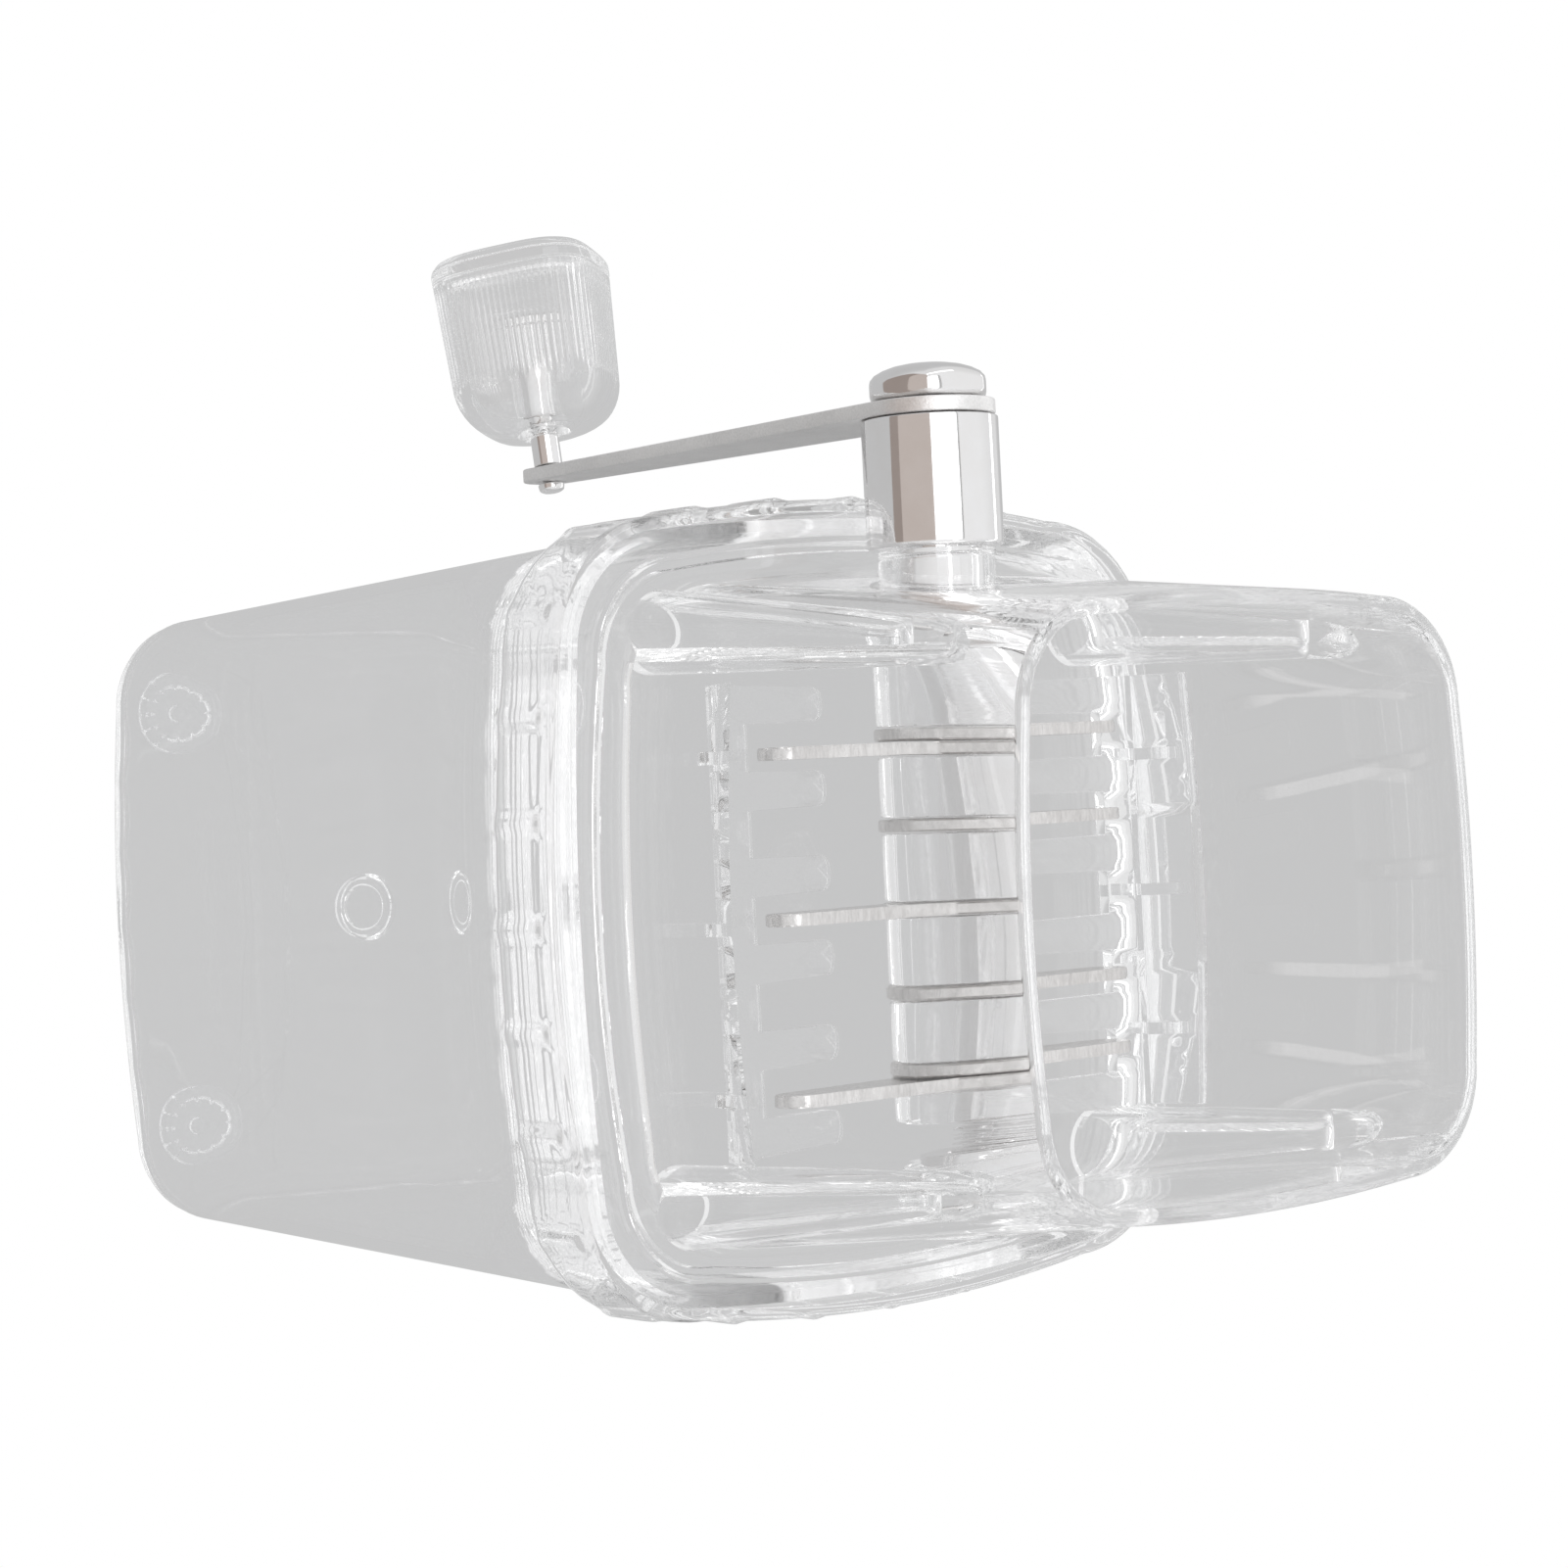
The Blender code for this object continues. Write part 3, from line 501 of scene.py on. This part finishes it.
def head():
    X, Y, R0, B = HEAD_X, HEAD_Y, HEAD_R, HEAD_BOW
    fz, ft = FLANGE_Z, FLANGE_T
    pz = fz + STEP_H
    n = dict(stations=rib_stations())

    def R4(hx, hy, r, b, z, **k):
        return rounded(hx, hy, r, b, z, **n, **k)

    def inset(d, z, amount=0.0):
        return R4(X - d, Y - d, R0 - d, B, z, proud=RIB_PROUD * amount)

    rings = [
        inset(0.35, SKIRT_Z, 0.8), inset(0.1, SKIRT_Z + 0.25, 1.0), inset(0.02, SKIRT_Z + 0.7, 1.0),
        inset(0.05, fz - 7.0, 1.0), inset(0.1, fz - 4.4, 1.0),
        inset(0.15, fz - 3.9, 0.8), inset(0.2, fz - 3.4, 0.4), inset(0.25, fz - 3.0, 0.1), inset(0.25, fz - 2.1),
        inset(0.4, fz - 1.2), inset(0.85, fz - 0.5), inset(1.6, fz - 0.1), inset(2.2, fz),
        inset(STEP_IN - 0.5, fz), inset(STEP_IN - 0.1, fz + 0.25), inset(STEP_IN + 0.1, pz - 0.35),
        inset(STEP_IN + 0.5, pz),
        R4(HOP_X + 0.7, HOP_Y + 0.7, HOP_R + 0.7, HOP_BOW, pz),
        R4(HOP_X - 0.35, HOP_Y - 0.35, HOP_R - 0.35, HOP_BOW, pz + 0.35),
    ]
    for z in (pz + 1.3, 176.0, 200.0, 223.0, MOUTH_Z - 1.2):
        hx, hy, r, b = hopper_out(z)
        rings.append(R4(hx, hy, r, b, z))
    w = HOP_WALL
    for a in (22.5, 45.0, 67.5, 90.0, 112.5, 135.0, 157.5):
        hx, hy, r, b = hopper_out(MOUTH_Z)
        d = w / 2 * (1 - math.cos(math.radians(a)))
        z = MOUTH_Z - 1.2 * (1 - math.sin(math.radians(a)))
        rings.append(R4(hx - d, hy - d, r - d, b, z))
    for z in (MOUTH_Z - 1.2, 223.0, 200.0, 176.0, pz - ft):
        hx, hy, r, b = hopper_out(z)
        rings.append(R4(hx - w, hy - w, r - w, b, z))
    rings += [
        inset(STEP_IN + ft, pz - ft), inset(STEP_IN + ft - 0.3, fz - ft),
        inset(SKIRT_WALL + 1.3, fz - ft), inset(SKIRT_WALL + 0.5, fz - ft - 0.4),
        inset(SKIRT_WALL + 0.2, fz - ft - 1.3), inset(SKIRT_WALL, fz - 6.0),
        inset(SKIRT_WALL - 0.2, SKIRT_Z + 0.4), inset(SKIRT_WALL - 0.5, SKIRT_Z),
    ]
    ob = piece("head_moulding", loft(rings, closed_profile=True), CLEAR, None)

    seg = 24 * FINE
    z0 = pz - ft
    tools = []
    dome = [(0.0, 1.0), (0.25, 1.0), (0.5, 1.0), (0.75, 1.0), (0.93, 1.0), (0.955, 0.96),
            (0.975, 0.85), (0.99, 0.62), (0.998, 0.32)]
    for sy in (-1, 1):
        for sx in (-1, 1):
            outer = cone(sx, sy, z0, POST_TOP_Z, lambda u: lerp(POST_R0, POST_R1, u), dome, seg)
            tools.append((tool(outer), "UNION"))
    for sy in (-1, 1):
        for sx in (-1, 1):
            inner = cone(sx, sy, z0 - 1.0, POST_TOP_Z - 9.0,
                         lambda u: lerp(POST_R0 - 1.9, POST_R1 - 1.7, u), dome, seg)
            tools.append((tool(inner), "DIFFERENCE"))
    for sx in (-1, 1):
        bore = turned([(-8, 0), (-8, BUSH_HOLE_R), (8, BUSH_HOLE_R), (8, 0)], 48 * FINE, "X")
        tools.append((tool(bore, (sx * 53.5, 0, SHAFT_Z)), "DIFFERENCE"))
    apply_all(ob, tools)
    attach(ob, "head")
    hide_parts("head_housing")


def comb(name, side, ribs, node):
    bm = bmesh.new()
    teeth = [ROTOR_X + PITCH * (i - 2.5) for i in range(6)]
    xs = {ROTOR_X - COMB_HALF, ROTOR_X + COMB_HALF}
    for c in teeth:
        xs.update((c - TOOTH_W / 2, c + TOOTH_W / 2))
    base = sorted(xs)
    xs = []
    for a, b in zip(base, base[1:]):
        xs += [lerp(a, b, k / 3) for k in range(3)]
    xs.append(base[-1])

    def v(x, y, z):
        return bm.verts.new((x, side * y, z))

    def plate_y(x):
        return wall_in_y(x, COMB_WALL_Z) - GAP - 0.2

    wall = [v(x, plate_y(x), COMB_WALL_Z) for x in xs]
    root = [v(x, COMB_ROOT_Y, COMB_ROOT_Z) for x in xs]
    for i in range(len(xs) - 1):
        bm.faces.new((wall[i], wall[i + 1], root[i + 1], root[i]))
    slope = (COMB_ROOT_Z - COMB_TIP_Z) / (COMB_ROOT_Y - COMB_TIP_Y)
    shelf_z = COMB_TIP_Z + slope * (COMB_SLOT_Y - COMB_TIP_Y)
    slot = [v(x, COMB_SLOT_Y, shelf_z) for x in xs]
    for i in range(len(xs) - 1):
        bm.faces.new((root[i], root[i + 1], slot[i + 1], slot[i]))
    for c in teeth:
        i = min(range(len(xs)), key=lambda k: abs(xs[k] - (c - TOOTH_W / 2)))
        j = min(range(len(xs)), key=lambda k: abs(xs[k] - (c + TOOTH_W / 2)))
        tip = []
        w = TOOTH_W / 2 - 0.25
        m = 14
        for k in range(m + 1):
            a = math.pi * k / m
            dx = -w * math.cos(a)
            dx = math.copysign(min(abs(dx), w), dx)
            dy = 2.4 * (1 - math.sin(a) ** 0.7)
            tip.append(v(c + dx, COMB_TIP_Y + dy, COMB_TIP_Z + slope * dy))
        bm.faces.new([slot[i]] + tip + [slot[k] for k in range(j, i, -1)])
    got = bmesh.ops.extrude_face_region(bm, geom=bm.faces[:])
    moved = [g for g in got["geom"] if isinstance(g, bmesh.types.BMVert)]
    bmesh.ops.translate(bm, vec=(0, 0, -COMB_T), verts=moved)
    ob = piece(name, bm, CLEAR, None)
    bevelled(ob, 0.4, 3, 50.0)
    apply_all(ob, [])
    tools = []
    for x in ribs:
        rb = bmesh.new()
        out = plate_y(x) - 0.6
        prof = [(COMB_ROOT_Y + 0.7, COMB_ROOT_Z - 0.6), (out, COMB_WALL_Z - 1.9),
                (out, COMB_WALL_Z - 13.0), (COMB_ROOT_Y + 6.5, COMB_ROOT_Z - 10.2),
                (COMB_ROOT_Y + 3.2, COMB_ROOT_Z - 8.6), (COMB_ROOT_Y + 1.2, COMB_ROOT_Z - 5.0)]
        n = len(prof)
        a = [rb.verts.new((x - 1.0, side * y, z)) for y, z in prof]
        b = [rb.verts.new((x + 1.0, side * y, z)) for y, z in prof]
        rb.faces.new(a)
        rb.faces.new(b)
        for i in range(n):
            j = (i + 1) % n
            rb.faces.new((a[i], a[j], b[j], b[i]))
        tools.append((tool(rb), "UNION"))
    apply_all(ob, tools)
    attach(ob, "head")
    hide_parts(node)


def bushes():
    seg = 48 * FINE
    # left: plain bush with a rolled bead where it leaves the wall
    prof = [(BUSH_IN, JOURNAL_R + GAP), (BUSH_IN, BUSH_R), (-56.0, BUSH_R), (-56.3, BUSH_R - 0.5),
            (-56.6, BUSH_R), (BUSH_OUT, BUSH_R), (BUSH_OUT, JOURNAL_R + GAP)]
    piece("bush_bead", turned(soften(prof, 0.4), seg, closed=True), CLEAR, "head",
          ["bearing_bush_left"], SHAFT)
    prof = [(54.2, 0.0), (54.2, BUSH_R), (43.8, BUSH_R), (43.8, ENDNUT_R + GAP),
            (50.4, ENDNUT_R + GAP), (50.4, 0.0)]
    piece("bush_cup", turned(soften(prof, 0.5, 3, False), seg), CLEAR, "head",
          ["bearing_bush_right"], SHAFT)


# --------------------------------------------------------------------- rotor
def blade_outline(n_hub=44):
    a0 = math.asin(BLADE_ROOT_HALF / BLADE_HUB_R)
    tip, tw = BLADE_TIP_R, BLADE_TIP_HALF
    rx = BLADE_HUB_R * math.cos(a0)
    finger = []
    for k in range(7):
        t = k / 6
        finger.append((lerp(rx, tip - 4.2, t), lerp(BLADE_ROOT_HALF, tw + 0.3, t ** 0.8)))
    for k in range(1, 7):
        a = math.pi / 2 * k / 6
        finger.append((tip - 4.2 + 4.2 * math.sin(a), (tw + 0.3) * math.cos(a) ** 0.8 if k < 6 else 0.0))
    up = [(math.atan2(v, u), math.hypot(u, v)) for u, v in finger]
    hub = [(a0 + (2 * math.pi - 2 * a0) * i / n_hub, BLADE_HUB_R) for i in range(1, n_hub)]
    upper = [(a, r) for a, r in reversed(up)]
    lower = [(-a, r) for a, r in up[:-1]]
    return upper + hub + lower


def blade(k, x_mid, toward):
    bm = bmesh.new()
    t, c = BLADE_T / 2, 0.28
    out = blade_outline()
    loops = []
    for x, d, inner in ((-t, c, 0), (-t + c, 0.0, 0), (t - c, 0.0, 0), (t, c, 0), (t, 0, 1), (-t, 0, 1)):
        row = []
        for a, r in out:
            rr = BORE_R if inner else r - d
            row.append(bm.verts.new((x, toward * rr * math.cos(a), rr * math.sin(a))))
        loops.append(row)
    n = len(out)
    for i0 in range(6):
        p, q = loops[i0], loops[(i0 + 1) % 6]
        for i in range(n):
            j = (i + 1) % n
            bm.faces.new((p[i], p[j], q[j], q[i]))
    piece("crusher_blade_%d" % k, bm, BLADE, "crank", ["blade_%d" % k],
          SHAFT @ Matrix.Translation(Vector((x_mid, 0, 0)) * MM), 28.0)


def rotor():
    seg = 40 * FINE
    prof = [(-85.2, 0.0), (-85.2, ROD_R), (BUSH_OUT, ROD_R), (BUSH_OUT, JOURNAL_R),
            (BUSH_IN, JOURNAL_R), (BUSH_IN, ROD_R), (35.0, ROD_R)]
    x = 35.0
    while x < 41.2:                      # rolled thread behind the end nut
        prof += [(x + 0.12, ROD_R), (x + 0.42, ROD_R - 0.5), (x + 0.62, ROD_R - 0.5), (x + 0.92, ROD_R)]
        x += 1.05
    prof += [(49.0, ROD_R), (49.2, ROD_R - 0.3), (49.2, 0.0)]
    piece("drive_rod", turned(prof, seg), CHROME, "crank", ["rotor_shaft"], SHAFT, 50.0)
    c0 = BUSH_IN + GAP
    piece("chrome_collar", turned(soften(ring_profile(c0, c0 + COLLAR_L, BORE_R, COLLAR_R), 0.5), seg,
                                  closed=True), CHROME, "crank", ["thrust_collar"], SHAFT)
    st = [ROTOR_X + PITCH * (i - 2) for i in range(5)]
    stack = [(st[0] - BLADE_T / 2 - GAP / 2, 1), (st[0] + BLADE_T / 2 + GAP / 2, -1), (st[1], 1),
             (st[2], -1), (st[3], 1), (st[4] - BLADE_T / 2 - GAP / 2, 1), (st[4] + BLADE_T / 2 + GAP / 2, -1)]
    for k, (x, d) in enumerate(stack, 1):
        blade(k, x, d)
    halves = [BLADE_T + GAP / 2, BLADE_T / 2, BLADE_T / 2, BLADE_T / 2, BLADE_T + GAP / 2]
    edges = [c0 + COLLAR_L]
    for s, h in zip(st, halves):
        edges += [s - h, s + h]
    edges.append(35.2 + GAP)
    for k in range(6):
        a, b = edges[2 * k] + GAP, edges[2 * k + 1] - GAP
        prof = [(a, BORE_R), (a, SPACER_R), (b, SPACER_R), (b, BORE_R)]
        piece("clear_spacer_%d" % (k + 1), turned(soften(prof, 0.45), seg, closed=True), CLEAR_THICK,
              "crank", ["spacer_%d" % (k + 1)], SHAFT)
    prof = [(ENDNUT_X0, BORE_R), (ENDNUT_X0, ENDNUT_R), (ENDNUT_X1 - 2.2, ENDNUT_R),
            (ENDNUT_X1 - 2.0, ENDNUT_R - 0.35), (ENDNUT_X1 - 1.6, ENDNUT_R - 0.35),
            (ENDNUT_X1 - 1.4, ENDNUT_R), (ENDNUT_X1, ENDNUT_R - 0.1), (ENDNUT_X1, BORE_R)]
    piece("chrome_end_nut", turned(soften(prof, 0.3), seg, closed=True), CHROME, "crank",
          ["end_nut"], SHAFT)


# --------------------------------------------------------------------- crank
def crank():
    seg = 64 * FINE
    prof = [(SLEEVE_X0, BORE_R), (SLEEVE_X0, SLEEVE_R), (SLEEVE_X1 - 0.5, SLEEVE_R),
            (SLEEVE_X1, SLEEVE_R - 0.4), (SLEEVE_X1, BORE_R)]
    piece("chrome_sleeve", turned(soften(prof, 0.3), seg, closed=True), CHROME, "crank",
          ["crank_sleeve"], SHAFT)

    # domed nut: six soft flats under a rounded crown
    def facets(a, r, th):
        if r < 6.0:
            return r
        phi = (th - NUT_TURN + math.pi / 6) % (math.pi / 3) - math.pi / 6
        flat = NUT_R / math.cos(phi)
        k = -14.0
        return (r ** k + flat ** k) ** (1.0 / k)
    prof = [(-88.0, 0.0), (-87.97, 2.0), (-87.8, 4.2), (-87.45, 6.0), (-86.9, 7.6), (-86.2, 9.0),
            (-85.4, 10.2), (-84.9, 10.65), (-84.5, 10.8), (-83.0, 10.8), (-82.5, 10.3), (-82.15, 9.6),
            (-82.0, 9.0), (-82.0, BORE_R), (-85.5, BORE_R), (-85.5, 0.0)]
    piece("chrome_cap_nut", turned(prof, 96 * FINE, section=facets), CHROME, "crank",
          ["crank_cap_nut"], SHAFT, 40.0)

    bm = bmesh.new()
    pts = []
    d = ARM_LEN
    spread = math.asin((ARM_HUB_R - ARM_END_R) / d)
    n = 40 * FINE
    for i in range(n + 1):
        a = -spread + (math.pi + 2 * spread) * i / n
        pts.append((ARM_HUB_R * math.cos(a), ARM_HUB_R * math.sin(a)))
    n = 20 * FINE
    for i in range(n + 1):
        a = math.pi + spread + (math.pi - 2 * spread) * i / n
        pts.append((ARM_END_R * math.cos(a), -d + ARM_END_R * math.sin(a)))
    a = [bm.verts.new((ARM_X0, y, z)) for y, z in pts]
    b = [bm.verts.new((ARM_X1, y, z)) for y, z in pts]
    bm.faces.new(a)
    bm.faces.new(b)
    for i in range(len(pts)):
        j = (i + 1) % len(pts)
        bm.faces.new((a[i], a[j], b[j], b[i]))
    ob = piece("satin_crank_arm", bm, ARM, None, matrix=SHAFT)
    tools = []
    for z, r in ((0.0, BORE_R), (-d, STUD_HOLE_R)):
        hole = turned([(-5, 0), (-5, r), (5, r), (5, 0)], 40)
        tools.append((tool(hole, ((ARM_X0 + ARM_X1) / 2, 0, SHAFT_Z + z)), "DIFFERENCE"))
    apply_all(ob, tools, 30.0)
    bevelled(ob, 0.35, 3, 40.0)
    apply_all(ob, [], 25.0)
    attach(ob, "crank")
    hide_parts("crank_arm")


# ---------------------------------------------------------------------- knob
def squarish(power, flutes=0, depth=0.0, s0=0.0, s1=0.0):
    def f(a, r, th):
        if r < 6.0:
            return r
        k = min(1.0, (r - 6.0) / 6.0)
        p = 2.0 + (power - 2.0) * k
        q = th - KNOB_TURN
        out = r * (abs(math.cos(q)) ** p + abs(math.sin(q)) ** p) ** (-1.0 / p)
        if flutes and r > 13.6:
            fade = max(0.0, min(1.0, (a - s0) / 1.5)) * max(0.0, min(1.0, (s1 - a) / 0.8))
            out -= depth * fade * (0.5 + 0.5 * math.cos(flutes * th)) ** 2
        return out
    return f


def knob():
    """Along local +X, out from the arm; the outer end sags."""
    axis = Matrix(((-math.cos(DROOP), 0, -math.sin(DROOP)), (0, -1, 0),
                   (-math.sin(DROOP), 0, math.cos(DROOP)))).to_4x4()
    place = Matrix.Translation(Vector(((ARM_X0 + ARM_X1) / 2, 0, SHAFT_Z - ARM_LEN)) * MM) @ axis
    t = (ARM_X1 - ARM_X0) / 2
    h = -t - 0.47
    prof = [(h - 1.5, 0.0), (h - 1.5, 1.6), (h - 1.1, 2.3), (h - 0.2, 2.45), (h, 2.45), (h, STUD_R),
            (t + 0.5, STUD_R), (t + 0.5, PIN_R), (28.3, PIN_R), (28.3, 4.2), (29.6, 4.2),
            (30.4, 3.2), (30.4, 0.0)]
    piece("chrome_knob_pin", turned(soften(prof, 0.25, 3, False), 40 * FINE), CHROME, "crank",
          ["knob_pin"], place, 50.0)

    b = PIN_R + GAP
    s0, s1, r0, r1, w = KNOB_S0, KNOB_S1, KNOB_R0, KNOB_R1, 2.2
    outer = [(s0, b + 0.3), (s0, 4.6)]
    for k in range(13):                         # bowl
        a = math.pi / 2 * k / 12
        outer.append((s0 + 0.15 + 10.35 * (1 - math.cos(a)), 5.2 + (r0 - 5.2) * math.sin(a)))
    s = s0 + 10.5
    steps = 22
    for k in range(1, steps + 1):
        ss = lerp(s, s1, k / steps)
        outer.append((ss, lerp(r0, r1, (ss - s) / (s1 - s))))
    inner = [(s1, r1 - w), (s0 + 12.5, r0 - w)]
    for k in range(1, 9):
        a = math.pi / 2 * k / 8
        inner.append((s0 + 12.5 - 9.3 * math.sin(a), 5.2 + (r0 - w - 5.2) * math.cos(a)))
    inner += [(s0 + 3.0, 4.6), (s0 + 3.4, 4.5), (27.6, 4.3), (28.0, 4.1), (28.0, b), (s0 + 0.3, b)]
    bm = turned(outer + inner, FLUTES * 6 * FINE, closed=True,
                section=squarish(KNOB_POWER, FLUTES, 0.2, s0 + 9.6, s1 - 0.7))
    piece("fluted_knob", bm, CLEAR_THICK, "knob", ["knob"], place, 60.0)
    c0 = s1 + GAP
    prof = [(CAP_END, 0.0), (CAP_END, 12.6), (CAP_END - 0.7, 14.4), (CAP_END - 2.2, r1 + 0.1),
            (c0, r1 + 0.1), (c0, r1 - w - GAP), (c0 - 1.8, r1 - w - GAP), (c0 - 1.8, 0.0)]
    piece("clear_knob_cap", turned(soften(prof, 0.6, 4, False), 96 * FINE, section=squarish(KNOB_POWER)),
          CLEAR_THICK, "knob", ["knob_cap"], place, 40.0)


tub()
feet()
head()
comb("comb_plate_rear", 1, REAR_RIBS, "comb_rear")
comb("comb_plate_front", -1, FRONT_RIBS, "comb_front")
bushes()
rotor()
crank()
knob()


# --------------------------------------------------------------------- stage
def floor_material():
    """White to the camera; seen through the plastic it carries a painted shadow, grey close by, paler far off.
    """
    m = bpy.data.materials.new("floor_pale_painted_shadow")
    m.use_nodes = True
    nt = m.node_tree
    nt.nodes.clear()
    out = nt.nodes.new("ShaderNodeOutputMaterial")
    lp = nt.nodes.new("ShaderNodeLightPath")
    mix = nt.nodes.new("ShaderNodeMixShader")
    a = nt.nodes.new("ShaderNodeEmission")
    b = nt.nodes.new("ShaderNodeEmission")
    co = nt.nodes.new("ShaderNodeTexCoord")
    far = nt.nodes.new("ShaderNodeVectorMath")
    far.operation = "LENGTH"
    mr = nt.nodes.new("ShaderNodeMapRange")
    mr.interpolation_type = "SMOOTHSTEP"
    mr.inputs["From Min"].default_value = FLOOR_NEAR
    mr.inputs["From Max"].default_value = FLOOR_FAR
    cr = nt.nodes.new("ShaderNodeValToRGB")
    # painted shadow: grey emission near the object, fading to pale further out, seen only by rays through the
    # plastic
    cr.color_ramp.elements[0].color = (*FLOOR_PAINTED_SHADOW_GREY, 1)
    cr.color_ramp.elements[1].color = (*FLOOR_PALE, 1)
    b.inputs["Color"].default_value = (1, 1, 1, 1)
    nt.links.new(co.outputs["Object"], far.inputs[0])
    nt.links.new(far.outputs["Value"], mr.inputs["Value"])
    nt.links.new(mr.outputs["Result"], cr.inputs["Fac"])
    nt.links.new(cr.outputs["Color"], a.inputs["Color"])
    nt.links.new(lp.outputs["Is Camera Ray"], mix.inputs["Fac"])
    nt.links.new(a.outputs[0], mix.inputs[1])
    nt.links.new(b.outputs[0], mix.inputs[2])
    nt.links.new(mix.outputs[0], out.inputs["Surface"])
    return m


def glow(name, color):
    m = bpy.data.materials.new(name)
    m.use_nodes = True
    nt = m.node_tree
    nt.nodes.clear()
    out = nt.nodes.new("ShaderNodeOutputMaterial")
    a = nt.nodes.new("ShaderNodeEmission")
    a.inputs["Color"].default_value = (*color, 1)
    nt.links.new(a.outputs[0], out.inputs["Surface"])
    return m


def card(name, corners, color, through=True):
    me = bpy.data.meshes.new(name)
    me.from_pydata([Vector(c) for c in corners], [], [(0, 1, 2, 3)])
    ob = bpy.data.objects.new(name, me)
    bpy.context.scene.collection.objects.link(ob)
    me.materials.append(glow(name + "_glow", color))
    ob.visible_camera = False
    ob.visible_transmission = through
    ob.visible_shadow = False
    return ob


FLOOR_NEAR, FLOOR_FAR = 0.38, 1.1
# painted shadow colours for the floor: grey close to the object, pale far off
FLOOR_PAINTED_SHADOW_GREY, FLOOR_PALE = (0.562, 0.562, 0.564), (0.78, 0.78, 0.783)
me = bpy.data.meshes.new("floor")
S = 6.0
me.from_pydata([(-S, -S, -0.0002), (S, -S, -0.0002), (S, S, -0.0002), (-S, S, -0.0002)], [], [(0, 1, 2, 3)])
floor = bpy.data.objects.new("floor", me)
bpy.context.scene.collection.objects.link(floor)
me.materials.append(floor_material())

# warm room side in front, bright box overhead with a thin dark edge, pale back
card("room_foot", [(-0.9, -0.42, 0.002), (0.9, -0.42, 0.002), (0.9, -0.42, 0.13), (-0.9, -0.42, 0.13)],
     (0.34, 0.29, 0.265), through=False)
card("room_card", [(-0.9, -0.42, 0.13), (0.9, -0.42, 0.13), (0.9, -0.42, 0.66), (-0.9, -0.42, 0.66)],
     (0.56, 0.495, 0.46), through=False)
card("top_box", [(-0.7, -0.80, 1.1), (0.7, -0.80, 1.1), (0.7, 0.065, 1.1), (-0.7, 0.065, 1.1)],
     (1.9, 1.9, 1.92), through=False)
card("edge_strip", [(-0.7, 0.067, 1.1), (0.7, 0.067, 1.1), (0.7, 0.115, 1.1), (-0.7, 0.115, 1.1)],
     (0.45, 0.45, 0.45), through=False)
# narrow bright strips draw the thin light lines along the plastic's edges
card("strip_top", [(-0.8, -0.14, 1.2), (0.8, -0.14, 1.2), (0.8, 0.0, 1.2), (-0.8, 0.0, 1.2)], (2.6, 2.6, 2.6))
card("strip_back", [(-0.9, 1.1, 0.30), (0.9, 1.1, 0.30), (0.9, 1.1, 0.42), (-0.9, 1.1, 0.42)], (2.2, 2.2, 2.2))
for side in (-1, 1):
    card("strip_side_%+d" % side, [(side * 0.9, -0.3, 0.42), (side * 0.9, 0.4, 0.42),
                                   (side * 0.88, 0.4, 0.54), (side * 0.88, -0.3, 0.54)], (2.4, 2.4, 2.4))

world = bpy.data.worlds.new("studio")
bpy.context.scene.world = world
world.use_nodes = True
nt = world.node_tree
nt.nodes.clear()
wo = nt.nodes.new("ShaderNodeOutputWorld")
co = nt.nodes.new("ShaderNodeTexCoord")
sep = nt.nodes.new("ShaderNodeSeparateXYZ")
cr = nt.nodes.new("ShaderNodeValToRGB")
mr = nt.nodes.new("ShaderNodeMapRange")
mr.inputs["From Min"].default_value = -0.1
mr.inputs["From Max"].default_value = 1.0
bg = nt.nodes.new("ShaderNodeBackground")
cam_bg = nt.nodes.new("ShaderNodeBackground")
cam_bg.inputs["Color"].default_value = (1, 1, 1, 1)
mixer = nt.nodes.new("ShaderNodeMixShader")
lp = nt.nodes.new("ShaderNodeLightPath")
cr.color_ramp.elements[0].position = 0.0
cr.color_ramp.elements[0].color = (0.75, 0.75, 0.75, 1)
cr.color_ramp.elements[1].position = 0.7
cr.color_ramp.elements[1].color = (0.90, 0.90, 0.903, 1)
nt.links.new(co.outputs["Generated"], sep.inputs[0])
nt.links.new(sep.outputs["Z"], mr.inputs["Value"])
nt.links.new(mr.outputs["Result"], cr.inputs["Fac"])
nt.links.new(cr.outputs["Color"], bg.inputs["Color"])
nt.links.new(lp.outputs["Is Camera Ray"], mixer.inputs["Fac"])
nt.links.new(bg.outputs[0], mixer.inputs[1])
nt.links.new(cam_bg.outputs[0], mixer.inputs[2])
nt.links.new(mixer.outputs[0], wo.inputs["Surface"])

# -------------------------------------------------------------------- camera
cam_data = bpy.data.cameras.new("main_camera")
cam = bpy.data.objects.new("main_camera", cam_data)
bpy.context.scene.collection.objects.link(cam)
right = Vector((0.0505370, 0.7678517, 0.6386312))
up = Vector((-0.9987222, 0.0389670, 0.0321807))
back = right.cross(up).normalized()
up = back.cross(right).normalized()
right = right.normalized()
m = Matrix(((right.x, up.x, back.x, -0.0207), (right.y, up.y, back.y, -0.37744),
            (right.z, up.z, back.z, 0.58956), (0, 0, 0, 1)))
cam.matrix_world = m
cam_data.sensor_width = 36.0
cam_data.lens = 78.43
cam_data.clip_start = 0.01
cam_data.clip_end = 50.0
bpy.context.scene.camera = cam

sc = bpy.context.scene
sc.view_settings.view_transform = "Standard"
sc.view_settings.look = "None"
sc.view_settings.exposure = 0.0
sc.cycles.max_bounces = 128
sc.cycles.transmission_bounces = 128
sc.cycles.glossy_bounces = 128
sc.cycles.transparent_max_bounces = 16
sc.cycles.sample_clamp_indirect = 8.0

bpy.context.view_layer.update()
